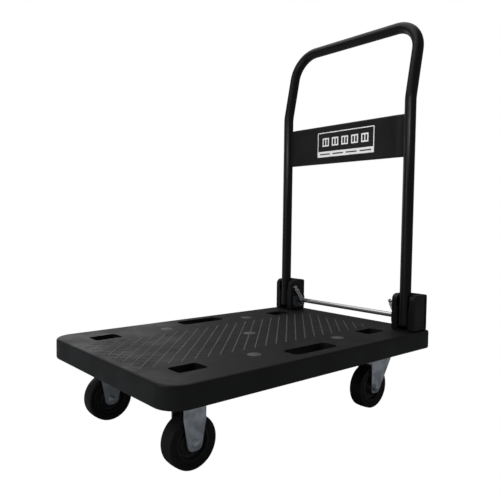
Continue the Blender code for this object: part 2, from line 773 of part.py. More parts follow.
def build_screw(name, side):
    """The screw that holds the channel's floor down, behind the shoe's sweep."""
    y = side * HANDLE_Y
    head_low = SEAT_BOTTOM + CHEEK_SHEET + TOUCH
    mesh = cylinder("screw", SCREW_HEAD, SCREW_HEAD_HEIGHT, "Z", 16)
    screw = place(f"seat_screw_{name}", mesh, (SCREW_X, y, head_low + SCREW_HEAD_HEIGHT / 2), ZINC)
    length = CHEEK_SHEET + 2 * TOUCH + SCREW_HEAD_HEIGHT / 2
    shank = cylinder("screw_shank", SCREW_RADIUS, length, "Z", 12)
    tool = cutter(f"join_screw_{name}", shank, (SCREW_X, y, SEAT_BOTTOM + length / 2))
    boolean(screw, tool, "UNION")


def build_hinges():
    for name, side in SIDES.items():
        slot = rod_slot(name, side)
        build_seat(name, side, slot)
        build_base(name, side, slot)
        build_pivot(name, side)
        build_guide(name, side, slot)
        build_spring(name, side)
        build_screw(name, side)
    empty = axis_empty("release_rod_axis", (ROD_X, 0, ROD_Z))
    rod = cylinder("release_rod", ROD_RADIUS, 2 * ROD_HALF, "Y", 20)
    rod = place("release_rod", rod, (ROD_X, 0, ROD_Z), CHROME, empty)
    bevel(rod, ROD_EDGE, 1)
    smooth(rod)


# ---------------------------------------------------------------- casters


def tyre_profile():
    """The tyre's closed section as (radius, height), down its outer side first."""
    half = TYRE_WIDTH / 2
    seat = RIM_WIDTH / 2
    inner = RIM_RADIUS + TOUCH
    outer_half = [
        (inner, seat),
        (inner + TYRE_FOOT, half),
        (WHEEL_RADIUS - TYRE_SHOULDER, half),
        (WHEEL_RADIUS - TYRE_CROWN, half - TYRE_SHOULDER),
        (WHEEL_RADIUS, half - 2 * TYRE_SHOULDER),
    ]
    return outer_half + [(radius, -height) for radius, height in reversed(outer_half)]


def rim_profile():
    """The rim's closed section: a broad band on a thin web with a tapered hub."""
    bore = AXLE_RADIUS + RUNNING
    web = RIM_WEB / 2
    outer_half = [
        (bore, HUB_WIDTH / 2),
        (HUB_RADIUS, HUB_WIDTH / 2),
        (HUB_RADIUS + web / 2, web),
        (RIM_RADIUS - RIM_BAND, web),
        (RIM_RADIUS - RIM_BAND, RIM_WIDTH / 2),
        (RIM_RADIUS, RIM_WIDTH / 2),
    ]
    return outer_half + [(radius, -height) for radius, height in reversed(outer_half)]


def build_wheel(name, x, y):
    axis = axis_empty(f"wheel_axis_{name}", (x, y, WHEEL_RADIUS))
    on_side = (math.pi / 2, 0, 0)
    at = (x, y, WHEEL_RADIUS)
    tyre = place(f"tyre_{name}", profile("tyre", tyre_profile(), True), at, RUBBER, axis, on_side)
    turned(tyre)
    rim = place(f"rim_{name}", profile("rim", rim_profile(), True), at, DARK_PLASTIC, axis, on_side)
    turned(rim)


def build_axle(name, x, y, side):
    """The bolt through the fork with its head outside, and its nut on the other leg."""
    gap = FORK_INSIDE + FORK_SHEET + TOUCH
    tail = AXLE_HEAD_HEIGHT + 2 * JOIN
    mesh = cylinder("axle", AXLE_RADIUS, 2 * gap + tail + JOIN, "Y", 20)
    middle = y - side * (tail - JOIN) / 2
    axle = place(f"axle_{name}", mesh, (x, middle, WHEEL_RADIUS), ZINC)
    head = cylinder("axle_head", AXLE_HEAD_RADIUS, AXLE_HEAD_HEIGHT, "Y", 6)
    at = (x, y + side * (gap + AXLE_HEAD_HEIGHT / 2), WHEEL_RADIUS)
    boolean(axle, cutter(f"join_axle_head_{name}", head, at), "UNION")
    nut = cylinder("axle_nut", AXLE_HEAD_RADIUS, AXLE_HEAD_HEIGHT, "Y", 6)
    at = (x, y - side * (gap + AXLE_HEAD_HEIGHT / 2), WHEEL_RADIUS)
    nut = place(f"axle_nut_{name}", nut, at, ZINC)
    bore = cylinder("axle_nut_bore", AXLE_RADIUS + TOUCH, 3 * AXLE_HEAD_HEIGHT, "Y", 20)
    boolean(nut, cutter(f"cut_axle_nut_{name}", bore, at))


def fork_section(top):
    """The bent sheet's section in Y and Z: two legs and a crown."""
    outside = FORK_INSIDE + FORK_SHEET
    low = WHEEL_RADIUS - FORK_FOOT - OVERRUN
    corners = [
        (-outside, low, 0),
        (-FORK_INSIDE, low, 0),
        (-FORK_INSIDE, top - FORK_SHEET, FORK_BEND - FORK_SHEET),
        (FORK_INSIDE, top - FORK_SHEET, FORK_BEND - FORK_SHEET),
        (FORK_INSIDE, low, 0),
        (outside, low, 0),
        (outside, top, FORK_BEND),
        (-outside, top, FORK_BEND),
    ]
    return rounded(corners, steps=3)


def fork_side(front, rear, axle, top, shoulder):
    """The fork's side view in X and Z: wide at the crown, round at the axle."""
    high = top + OVERRUN
    low = WHEEL_RADIUS - FORK_FOOT
    return rounded(
        [
            (front, high, 0),
            (front, shoulder, FORK_SHOULDER),
            (axle - FORK_FOOT, low, FORK_FOOT * 0.85),
            (axle + FORK_FOOT, low, FORK_FOOT * 0.85),
            (rear, shoulder, FORK_SHOULDER),
            (rear, high, 0),
        ],
        steps=5,
    )


def build_fork(name, x, y, front, rear, axle, top, shoulder):
    length = rear - front
    mesh = plate("fork", fork_section(top), length, "YZ")
    fork = place(name, mesh, (x + (front + rear) / 2, y, 0), ZINC)
    side = plate("fork_side", fork_side(front, rear, axle, top, shoulder), 4 * FORK_INSIDE, "XZ")
    boolean(fork, cutter(f"shape_{name}", side, (x, y, 0)), "INTERSECT")
    hole = cylinder("axle_hole", AXLE_RADIUS + TOUCH, 5 * FORK_INSIDE, "Y", 20)
    boolean(fork, cutter(f"cut_axle_{name}", hole, (x + axle, y, WHEEL_RADIUS)))
    return fork


def plate_outline():
    return rounded(rectangle(PLATE_LENGTH, PLATE_WIDTH, PLATE_CORNER), steps=3)


def build_fixed_caster(name, side):
    """The rigid caster: its fork and its mounting plate are one welded piece."""
    y = side * CASTER_Y
    half = FIXED_LEG_TOP / 2
    top = PLATE_BOTTOM + FORK_SHEET / 2
    shoulder = WHEEL_RADIUS + FIXED_SHOULDER
    fork = build_fork(f"fixed_fork_{name}", FIXED_X, y, -half, half, 0.0, top, shoulder)
    mesh = plate("fixed_plate", plate_outline(), PLATE_THICKNESS)
    tool = cutter(f"join_plate_{name}", mesh, (FIXED_X, y, PLATE_TOP - PLATE_THICKNESS / 2))
    boolean(fork, tool, "UNION")
    build_wheel(f"front_{name}", FIXED_X, y)
    build_axle(f"front_{name}", FIXED_X, y, side)


def build_swivel_caster(name, side):
    """The swivel caster: plate, ball race, kingpin and a fork that trails towards the front."""
    y = side * CASTER_Y
    swivel = axis_empty(f"swivel_axis_{name}", (SWIVEL_X, y, CROWN_TOP))
    mesh = plate("swivel_plate", plate_outline(), PLATE_THICKNESS)
    at = (SWIVEL_X, y, PLATE_TOP - PLATE_THICKNESS / 2)
    top_plate = place(f"swivel_plate_{name}", mesh, at, ZINC)
    bore = cylinder("kingpin_hole", KINGPIN_RADIUS + TOUCH, 6 * RACE_HEIGHT, "Z", 20)
    hole = cutter(f"cut_kingpin_{name}", bore, (SWIVEL_X, y, PLATE_BOTTOM))
    boolean(top_plate, hole)
    race = cylinder("ball_race", RACE_RADIUS, RACE_HEIGHT, "Z", 28)
    at = (SWIVEL_X, y, CROWN_TOP + TOUCH + RACE_HEIGHT / 2)
    race = place(f"ball_race_{name}", race, at, ZINC)
    boolean(race, hole)
    front, rear, shoulder = -SWIVEL_CROWN_FRONT, SWIVEL_CROWN_REAR, CROWN_TOP - 3 * FORK_BEND
    fork = build_fork(
        f"swivel_fork_{name}", SWIVEL_X, y, front, rear, -TRAIL, CROWN_TOP, shoulder
    )
    boolean(fork, hole)
    build_kingpin(name, y)
    x = SWIVEL_X - TRAIL
    build_wheel(f"rear_{name}", x, y)
    build_axle(f"rear_{name}", x, y, side)
    moving = [f"swivel_fork_{name}", f"axle_rear_{name}", f"axle_nut_rear_{name}"]
    for part in moving:
        rider = bpy.data.objects[part]
        rider.location -= swivel.location
        rider.parent = swivel
    wheel_axis = bpy.data.objects[f"wheel_axis_rear_{name}"]
    wheel_axis.location -= swivel.location
    wheel_axis.parent = swivel


def build_kingpin(name, y):
    """The rivet that holds the swivel together, flush with the plate and with a head below the crown."""
    low = CROWN_TOP - FORK_SHEET - TOUCH - KINGPIN_HEAD_HEIGHT
    mesh = cylinder("kingpin", KINGPIN_RADIUS, PLATE_TOP - low, "Z", 20)
    pin = place(f"kingpin_{name}", mesh, (SWIVEL_X, y, (PLATE_TOP + low) / 2), ZINC)
    head = cylinder("kingpin_head", KINGPIN_HEAD, KINGPIN_HEAD_HEIGHT, "Z", 20)
    tool = cutter(f"join_kingpin_{name}", head, (SWIVEL_X, y, low + KINGPIN_HEAD_HEIGHT / 2))
    boolean(pin, tool, "UNION")


def build_casters():
    for name, side in SIDES.items():
        build_fixed_caster(name, side)
        build_swivel_caster(name, side)


clear_scene()
PARTS = new_collection("folding_platform_cart")
CUTTERS = new_collection("cutters")
GREY_PLASTIC = make_material("grey_plastic", (0.060, 0.062, 0.060), 0.55)
PALE_PLASTIC = make_material("pale_plastic", (0.20, 0.20, 0.20), 0.50)
BLACK_PAINT = make_material("black_paint", (0.016, 0.016, 0.017), 0.35)
BLACK_PLASTIC = make_material("black_plastic", (0.014, 0.014, 0.015), 0.45)
DARK_PLASTIC = make_material("dark_plastic", (0.030, 0.030, 0.031), 0.50)
RUBBER = make_material("rubber", (0.020, 0.020, 0.020), 0.75)
ZINC = make_material("zinc", (0.62, 0.64, 0.67), 0.35, 1.0)
CHROME = make_material("chrome", (0.75, 0.75, 0.76), 0.12, 1.0)
LABEL_PRINT = make_material("label_print", (0.75, 0.75, 0.74), 0.45)
build_deck()
build_handle()
build_hinges()
build_casters()
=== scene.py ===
"""Folding platform cart: the finished look of a moulded deck, a push handle and four casters.

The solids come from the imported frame. Each sub-assembly below is a class that holds its sizes,
builds its meshes in metres in the frame's own axes (+X towards the handle, +Z up) and dresses them.
"""

from __future__ import annotations

import itertools
import json
import logging
import math
from collections.abc import Iterable, Sequence
from dataclasses import dataclass, field
from enum import Enum

import bmesh
import bpy
from mathutils import Matrix, Vector

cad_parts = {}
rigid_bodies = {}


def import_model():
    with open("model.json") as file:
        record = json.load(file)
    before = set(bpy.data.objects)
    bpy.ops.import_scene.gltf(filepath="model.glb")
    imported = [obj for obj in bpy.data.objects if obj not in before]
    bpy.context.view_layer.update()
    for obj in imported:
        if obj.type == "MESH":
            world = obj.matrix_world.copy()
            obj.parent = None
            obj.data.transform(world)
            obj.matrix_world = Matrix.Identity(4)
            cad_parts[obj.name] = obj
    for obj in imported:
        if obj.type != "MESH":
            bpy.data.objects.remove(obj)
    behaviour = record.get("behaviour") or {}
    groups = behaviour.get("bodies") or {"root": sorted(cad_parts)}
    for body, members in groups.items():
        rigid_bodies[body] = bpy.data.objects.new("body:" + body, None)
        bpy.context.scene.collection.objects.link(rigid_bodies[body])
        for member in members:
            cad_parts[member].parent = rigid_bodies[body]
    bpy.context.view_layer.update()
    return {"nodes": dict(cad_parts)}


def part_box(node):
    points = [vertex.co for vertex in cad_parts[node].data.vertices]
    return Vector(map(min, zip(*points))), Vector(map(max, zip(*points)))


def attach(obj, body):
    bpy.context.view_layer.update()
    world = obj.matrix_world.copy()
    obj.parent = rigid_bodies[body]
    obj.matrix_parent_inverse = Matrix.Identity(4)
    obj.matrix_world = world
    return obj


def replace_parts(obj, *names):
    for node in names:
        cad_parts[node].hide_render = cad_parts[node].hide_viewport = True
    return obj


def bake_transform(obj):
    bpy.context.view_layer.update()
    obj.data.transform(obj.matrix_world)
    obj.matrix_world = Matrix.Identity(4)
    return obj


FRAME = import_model()
LOG = logging.getLogger("cart")
MM = 0.001
Point = tuple[float, float]
Corner = tuple[float, float, float]


class Side(Enum):
    """The operator's left and right; the value is the sign of Y."""

    LEFT = -1
    RIGHT = 1

    @property
    def word(self) -> str:
        """The side's word in node and piece names."""
        return self.name.lower()


class CasterKind(Enum):
    """The two casters: the value is the word that names their wheels."""

    FIXED = "front"
    SWIVEL = "rear"


# ---------------------------------------------------------------- node groups


class NodeWriter:
    """Adds nodes to a tree in a column and links them by name."""

    def __init__(self, tree: bpy.types.NodeTree) -> None:
        """Starts at the left of a tree.

        Args:
            tree: The node tree to write in.
        """
        self.tree = tree
        self.column = 0

    def add(self, kind: str, **settings: object) -> bpy.types.Node:
        """Adds a node and sets its properties.

        Args:
            kind: The node's Blender class name.
            settings: Property names and values.

        Returns:
            The new node.
        """
        node = self.tree.nodes.new(kind)
        node.location = (self.column * 180, -(self.column % 3) * 160)
        self.column += 1
        for name, value in settings.items():
            setattr(node, name, value)
        return node

    def link(self, source: bpy.types.NodeSocket, target: bpy.types.NodeSocket) -> None:
        """Joins an output socket to an input socket."""
        self.tree.links.new(source, target)

    def noise(self, vector: bpy.types.NodeSocket, scale: float, detail: float) -> bpy.types.Node:
        """Adds a noise texture.

        Args:
            vector: Where the noise is read.
            scale: Cells for each metre.
            detail: Octaves.

        Returns:
            The noise node.
        """
        node = self.add("ShaderNodeTexNoise")
        node.inputs["Scale"].default_value = scale
        node.inputs["Detail"].default_value = detail
        self.link(vector, node.inputs["Vector"])
        return node

    def math(self, operation: str, first: object, second: object = None) -> bpy.types.NodeSocket:
        """Adds a math node.

        Args:
            operation: Blender's name for the operation.
            first: A socket or a number.
            second: A socket or a number, for operations of two values.

        Returns:
            The result's socket.
        """
        node = self.add("ShaderNodeMath", operation=operation)
        for socket, value in zip(node.inputs, (first, second)):
            if isinstance(value, bpy.types.NodeSocket):
                self.link(value, socket)
            elif value is not None:
                socket.default_value = value
        return node.outputs[0]

    def stretch(self, value: bpy.types.NodeSocket, low: float, high: float) -> bpy.types.NodeSocket:
        """Maps low to 0 and high to 1, clamped.

        Args:
            value: The socket to map.
            low: The value that becomes 0.
            high: The value that becomes 1.

        Returns:
            The mapped socket.
        """
        node = self.add("ShaderNodeMapRange", interpolation_type="SMOOTHSTEP")
        node.inputs["From Min"].default_value = low
        node.inputs["From Max"].default_value = high
        self.link(value, node.inputs["Value"])
        return node.outputs["Result"]


class SurfaceGroup:
    """A node group that is built once and placed in each material with its own values."""

    name = "surface_group"
    inputs: tuple[tuple[str, str, object], ...] = ()
    outputs: tuple[tuple[str, str], ...] = ()

    def tree(self) -> bpy.types.NodeTree:
        """Returns the group's tree, built on its first use."""
        found = bpy.data.node_groups.get(self.name)
        if found is not None:
            return found
        made = bpy.data.node_groups.new(self.name, "ShaderNodeTree")
        for name, kind, value in self.inputs:
            socket = made.interface.new_socket(name, in_out="INPUT", socket_type=kind)
            socket.default_value = value
        for name, kind in self.outputs:
            made.interface.new_socket(name, in_out="OUTPUT", socket_type=kind)
        writer = NodeWriter(made)
        entry = writer.add("NodeGroupInput")
        leave = writer.add("NodeGroupOutput")
        self.fill(writer, entry, leave)
        return made

    def fill(self, writer: NodeWriter, entry: bpy.types.Node, leave: bpy.types.Node) -> None:
        """Writes the nodes between the group's input and output nodes."""
        raise NotImplementedError

    def place(self, writer: NodeWriter, **values: float) -> bpy.types.Node:
        """Places the group in a material.

        Args:
            writer: The material's writer.
            values: Input names, with _ for a space, and their values.

        Returns:
            The group node.
        """
        node = writer.add("ShaderNodeGroup", node_tree=self.tree())
        for name, value in values.items():
            node.inputs[name.replace("_", " ")].default_value = value
        return node


class GrainGroup(SurfaceGroup):
    """Fine pits and a slow unevenness, as on moulded or sprayed surfaces."""

    name = "fine_grain"
    inputs = (("Scale", "NodeSocketFloat", 900.0), ("Unevenness", "NodeSocketFloat", 0.3))
    outputs = (("Height", "NodeSocketFloat"), ("Cloud", "NodeSocketFloat"))

    def fill(self, writer: NodeWriter, entry: bpy.types.Node, leave: bpy.types.Node) -> None:
        """Writes the grain: small noise plus a share of a slow cloud."""
        place = writer.add("ShaderNodeTexCoord").outputs["Object"]
        grain = writer.noise(place, 900.0, 2.0)
        writer.link(entry.outputs["Scale"], grain.inputs["Scale"])
        cloud = writer.noise(place, 14.0, 4.0)
        slow = writer.math("MULTIPLY", cloud.outputs["Fac"], entry.outputs["Unevenness"])
        writer.link(writer.math("ADD", grain.outputs["Fac"], slow), leave.inputs["Height"])
        writer.link(writer.stretch(cloud.outputs["Fac"], 0.3, 0.7), leave.inputs["Cloud"])


class ScuffGroup(SurfaceGroup):
    """Long faint scuffs and settled dust, strongest on faces that look up."""

    name = "scuffs_and_dust"
    inputs = (("Amount", "NodeSocketFloat", 0.5), ("Dust", "NodeSocketFloat", 0.3))
    outputs = (("Mask", "NodeSocketFloat"),)

    def fill(self, writer: NodeWriter, entry: bpy.types.Node, leave: bpy.types.Node) -> None:
        """Writes the scuffs from noise that is drawn out along X, and the dust from a fine cloud."""
        place = writer.add("ShaderNodeTexCoord").outputs["Object"]
        drawn = writer.add("ShaderNodeMapping")
        drawn.inputs["Scale"].default_value = (6.0, 55.0, 55.0)
        drawn.inputs["Rotation"].default_value = (0.0, 0.0, 0.45)
        writer.link(place, drawn.inputs["Vector"])
        streak = writer.noise(drawn.outputs["Vector"], 3.0, 3.0)
        scuff = writer.stretch(streak.outputs["Fac"], 0.58, 0.78)
        scuff = writer.math("MULTIPLY", scuff, entry.outputs["Amount"])
        fine = writer.noise(place, 60.0, 5.0)
        dust = writer.stretch(fine.outputs["Fac"], 0.42, 0.72)
        normal = writer.add("ShaderNodeNewGeometry").outputs["Normal"]
        split = writer.add("ShaderNodeSeparateXYZ")
        writer.link(normal, split.inputs["Vector"])
        upward = writer.stretch(split.outputs["Z"], 0.2, 0.9)
        dust = writer.math("MULTIPLY", dust, upward)
        dust = writer.math("MULTIPLY", dust, entry.outputs["Dust"])
        total = writer.math("ADD", scuff, dust)
        writer.link(writer.math("MINIMUM", total, 1.0), leave.inputs["Mask"])


class PlatingGroup(SurfaceGroup):
    """Rolling lines and a patchy passivation tint, as on plated sheet."""

    name = "plating"
    inputs = (("Line Scale", "NodeSocketFloat", 700.0),)
    outputs = (("Height", "NodeSocketFloat"), ("Tint", "NodeSocketFloat"))

    def fill(self, writer: NodeWriter, entry: bpy.types.Node, leave: bpy.types.Node) -> None:
        """Writes lines that run along Z and a slow patchy tint."""
        place = writer.add("ShaderNodeTexCoord").outputs["Object"]
        drawn = writer.add("ShaderNodeMapping")
        drawn.inputs["Scale"].default_value = (1.0, 1.0, 0.03)
        writer.link(place, drawn.inputs["Vector"])
        lines = writer.noise(drawn.outputs["Vector"], 700.0, 2.0)
        writer.link(entry.outputs["Line Scale"], lines.inputs["Scale"])
        patch = writer.noise(place, 45.0, 3.0)
        writer.link(lines.outputs["Fac"], leave.inputs["Height"])
        writer.link(writer.stretch(patch.outputs["Fac"], 0.35, 0.68), leave.inputs["Tint"])


# ---------------------------------------------------------------- finishes


Colour = tuple[float, float, float]


@dataclass(frozen=True)
class Finish:
    """A material of one of the cart's finishes.

    Attributes:
        name: The material's name.
        slot: The record's material slot; not used.
        colour: The clean surface's colour.
        roughness: The clean surface's roughness.
        metallic: 1 for metal.
    """

    name: str
    slot: str
    colour: Colour
    roughness: float
    metallic: float = 0.0

    def material(self) -> bpy.types.Material:
        """Returns the finish's material, built on its first use."""
        found = bpy.data.materials.get(self.name)
        if found is not None:
            return found
        made = bpy.data.materials.new(self.name)
        made.use_nodes = True
        shader = made.node_tree.nodes["Principled BSDF"]
        shader.inputs["Metallic"].default_value = self.metallic
        self.write(NodeWriter(made.node_tree), shader)
        return made

    def write(self, writer: NodeWriter, shader: bpy.types.Node) -> None:
        """Writes the nodes that feed the shader."""
        raise NotImplementedError

    def blend_colour(
        self, writer: NodeWriter, mask: bpy.types.NodeSocket, start: Colour, end: Colour
    ) -> bpy.types.NodeSocket:
        """Mixes two colours by a mask.

        Args:
            writer: The material's writer.
            mask: 0 for start and 1 for end.
            start: The first colour.
            end: The second colour.

        Returns:
            The mixed colour's socket.
        """
        mix = writer.add("ShaderNodeMix", data_type="RGBA")
        mix.inputs["A"].default_value = (*start, 1.0)
        mix.inputs["B"].default_value = (*end, 1.0)
        writer.link(mask, mix.inputs["Factor"])
        return mix.outputs["Result"]

    def bump(
        self, writer: NodeWriter, shader: bpy.types.Node, height: bpy.types.NodeSocket, strength: float
    ) -> None:
        """Feeds a height through a Bump node to the shader's normal.

        Args:
            writer: The material's writer.
            shader: The Principled node.
            height: The height's socket, about 0 to 1.
            strength: The Bump node's strength.
        """
        node = writer.add("ShaderNodeBump")
        node.inputs["Strength"].default_value = strength
        node.inputs["Distance"].default_value = 0.0004
        writer.link(height, node.inputs["Height"])
        writer.link(node.outputs["Normal"], shader.inputs["Normal"])


@dataclass(frozen=True)
class MouldedFinish(Finish):
    """Moulded plastic or rubber with a fine grain, scuffs and a little dust.

    Attributes:
        scuffed: The colour where it is scuffed or dusty.
        grain: Pits for each metre.
        relief: The grain's bump strength.
        wear: How much scuffing there is.
        dust: How much dust lies on faces that look up.
    """

    scuffed: Colour = (0.10, 0.10, 0.10)
    grain: float = 1100.0
    relief: float = 0.22
    wear: float = 0.35
    dust: float = 0.30

    def write(self, writer: NodeWriter, shader: bpy.types.Node) -> None:
        """Writes grain, scuffs and a roughness that follows them."""
        grain = GrainGroup().place(writer, Scale=self.grain, Unevenness=0.35)
        scuff = ScuffGroup().place(writer, Amount=self.wear, Dust=self.dust)
        colour = self.blend_colour(writer, scuff.outputs["Mask"], self.colour, self.scuffed)
        writer.link(colour, shader.inputs["Base Color"])
        rough = writer.math("MULTIPLY", grain.outputs["Cloud"], 0.12)
        rough = writer.math("ADD", rough, self.roughness - 0.06)
        rough = writer.math("ADD", rough, writer.math("MULTIPLY", scuff.outputs["Mask"], 0.15))
        writer.link(rough, shader.inputs["Roughness"])
        self.bump(writer, shader, grain.outputs["Height"], self.relief)


@dataclass(frozen=True)
class PowderCoat(Finish):
    """Black powder coat with orange peel and a few dull handling marks.

    Attributes:
        handled: The colour of the dull marks.
    """

    handled: Colour = (0.035, 0.035, 0.036)

    def write(self, writer: NodeWriter, shader: bpy.types.Node) -> None:
        """Writes orange peel, marks and roughness."""
        peel = GrainGroup().place(writer, Scale=420.0, Unevenness=0.2)
        scuff = ScuffGroup().place(writer, Amount=0.30, Dust=0.15)
        colour = self.blend_colour(writer, scuff.outputs["Mask"], self.colour, self.handled)
        writer.link(colour, shader.inputs["Base Color"])
        rough = writer.math("MULTIPLY", peel.outputs["Cloud"], 0.10)
        writer.link(writer.math("ADD", rough, self.roughness), shader.inputs["Roughness"])
        self.bump(writer, shader, peel.outputs["Height"], 0.12)


@dataclass(frozen=True)
class PlatedFinish(Finish):
    """Zinc or chrome plate with rolling lines under it and a patchy tint.

    Attributes:
        tinted: The colour of the tinted patches.
        relief: The lines' bump strength.
    """

    tinted: Colour = (0.55, 0.57, 0.60)
    relief: float = 0.08

    def write(self, writer: NodeWriter, shader: bpy.types.Node) -> None:
        """Writes lines, tint and roughness."""
        plate = PlatingGroup().place(writer)
        colour = self.blend_colour(writer, plate.outputs["Tint"], self.colour, self.tinted)
        writer.link(colour, shader.inputs["Base Color"])
        rough = writer.math("MULTIPLY", plate.outputs["Tint"], 0.10)
        writer.link(writer.math("ADD", rough, self.roughness), shader.inputs["Roughness"])
        self.bump(writer, shader, plate.outputs["Height"], self.relief)


@dataclass(frozen=True)
class PrintedFinish(Finish):
    """Printed film: plain ink under a thin gloss laminate with a faint grain."""

    def write(self, writer: NodeWriter, shader: bpy.types.Node) -> None:
        """Writes a slight mottle in the ink and the film's roughness."""
        grain = GrainGroup().place(writer, Scale=600.0, Unevenness=0.4)
        darker = tuple(channel * 0.93 for channel in self.colour)
        colour = self.blend_colour(writer, grain.outputs["Cloud"], self.colour, darker)
        writer.link(colour, shader.inputs["Base Color"])
        rough = writer.math("MULTIPLY", grain.outputs["Cloud"], 0.08)
        writer.link(writer.math("ADD", rough, self.roughness), shader.inputs["Roughness"])
        self.bump(writer, shader, grain.outputs["Height"], 0.03)


DECK_PLASTIC = MouldedFinish(
    "deck_plastic", "grey_plastic", (0.008, 0.0082, 0.0078), 0.50, scuffed=(0.024, 0.024, 0.023), grain=1000.0
)
# Bold tread ribs: the deck's own grey plastic painted much lighter, a painted highlight standing in for the
# light the ribs catch; the scuffs and dust on top are wear.
RIB_PAINTED_HIGHLIGHT = MouldedFinish(
    "worn_tread", "grey_plastic", (0.15, 0.15, 0.148), 0.42, scuffed=(0.24, 0.24, 0.24), relief=0.1
)
CAP_PLASTIC = MouldedFinish(
    "cap_plastic", "pale_plastic", (0.19, 0.19, 0.187), 0.50, scuffed=(0.20, 0.20, 0.20), grain=1400.0
)
SEAT_PLASTIC = MouldedFinish(
    "seat_plastic", "black_plastic", (0.003, 0.003, 0.003), 0.46, scuffed=(0.012, 0.012, 0.012), wear=0.2
)
RIM_PLASTIC = MouldedFinish(
    "rim_plastic", "dark_plastic", (0.034, 0.034, 0.033), 0.34, scuffed=(0.05, 0.05, 0.05), wear=0.2
)
TYRE_RUBBER = MouldedFinish(
    "tyre_rubber", "rubber", (0.006, 0.006, 0.006), 0.60, scuffed=(0.06, 0.058, 0.055), grain=700.0
)
BLACK_PAINT = PowderCoat("powder_coat", "black_paint", (0.006, 0.006, 0.0065), 0.30)
ZINC = PlatedFinish("zinc_plate", "zinc", (0.80, 0.86, 0.92), 0.28, 1.0)
GUIDE_STEEL = PlatedFinish(
    "guide_steel", "zinc", (0.16, 0.17, 0.18), 0.34, 1.0, tinted=(0.10, 0.105, 0.11), relief=0.03
)
CHROME = PlatedFinish(
    "chrome_plate", "chrome", (0.97, 0.97, 0.97), 0.20, 1.0, tinted=(0.92, 0.92, 0.93), relief=0.0
)
LABEL_LIGHT = PrintedFinish("white_ink", "label_print", (0.80, 0.80, 0.80), 0.35)
LABEL_DARK = PrintedFinish("black_ink", "label_print", (0.008, 0.008, 0.009), 0.35)


# ---------------------------------------------------------------- shaping


def rounded(corners: Sequence[Corner], steps: int) -> list[Vector]:
    """Turns each corner of an outline by an arc.

    Args:
        corners: (x, y, radius) of each corner in order.
        steps: Straight pieces in each arc.

    Returns:
        The outline's points.
    """
    points: list[Vector] = []
    for index, (x, y, radius) in enumerate(corners):
        here = Vector((x, y))
        if radius == 0:
            points.append(here)
            continue
        back = (Vector(corners[index - 1][:2]) - here).normalized()
        ahead = (Vector(corners[(index + 1) % len(corners)][:2]) - here).normalized()
        half = back.angle(ahead) / 2
        centre = here + (back + ahead).normalized() * (radius / math.sin(half))
        start = here + back * (radius / math.tan(half)) - centre
        end = here + ahead * (radius / math.tan(half)) - centre
        first = math.atan2(start.y, start.x)
        sweep = (math.atan2(end.y, end.x) - first + math.pi) % math.tau - math.pi
        for step in range(steps + 1):
            angle = first + sweep * step / steps
            points.append(centre + radius * Vector((math.cos(angle), math.sin(angle))))
    return points


def rectangle(length: float, width: float, radius: float, at: Point = (0.0, 0.0)) -> list[Corner]:
    """Returns the corners of a rectangle with one corner radius."""
    x, y = length / 2, width / 2
    signs = ((-1, -1), (1, -1), (1, 1), (-1, 1))
    return [(at[0] + a * x, at[1] + b * y, radius) for a, b in signs]


def stadium(start: Point, end: Point, radius: float, steps: int = 16) -> list[Vector]:
    """Returns the outline of a slot with round ends between two centres."""
    along = Vector(end) - Vector(start)
    first = math.atan2(along.y, along.x) - math.pi / 2
    points = []
    for centre, begin in ((end, first), (start, first + math.pi)):
        for step in range(steps + 1):
            angle = begin + math.pi * step / steps
            points.append(Vector(centre) + radius * Vector((math.cos(angle), math.sin(angle))))
    return points


class Plane(Enum):
    """The plane that an outline is drawn in; the value turns it there from XY."""

    XY = ((1, 0, 0, 0), (0, 1, 0, 0), (0, 0, 1, 0), (0, 0, 0, 1))
    XZ = ((1, 0, 0, 0), (0, 0, -1, 0), (0, 1, 0, 0), (0, 0, 0, 1))
    YZ = ((0, 0, 1, 0), (1, 0, 0, 0), (0, 1, 0, 0), (0, 0, 0, 1))


def put(name: str, mesh: bpy.types.Mesh, angle: float = 35.0) -> bpy.types.Object:
    """Links a mesh to the scene, smooth but for edges over an angle.

    Args:
        name: The piece's name.
        mesh: Its mesh.
        angle: The angle in degrees from which an edge is sharp.

    Returns:
        The object.
    """
    mesh.name = name
    mesh.shade_smooth()
    mesh.set_sharp_from_angle(angle=math.radians(angle))
    piece = bpy.data.objects.new(name, mesh)
    bpy.context.scene.collection.objects.link(piece)
    return piece


def from_bmesh(name: str, shape: bmesh.types.BMesh) -> bpy.types.Mesh:
    """Turns a bmesh into a mesh with its faces out, and frees it."""
    bmesh.ops.recalc_face_normals(shape, faces=shape.faces)
    mesh = bpy.data.meshes.new(name)
    shape.to_mesh(mesh)
    shape.free()
    return mesh


def evaluated(piece: bpy.types.Object) -> bpy.types.Mesh:
    """Returns a new mesh of an object with its modifiers applied."""
    bpy.context.view_layer.update()
    graph = bpy.context.evaluated_depsgraph_get()
    return bpy.data.meshes.new_from_object(piece.evaluated_get(graph))


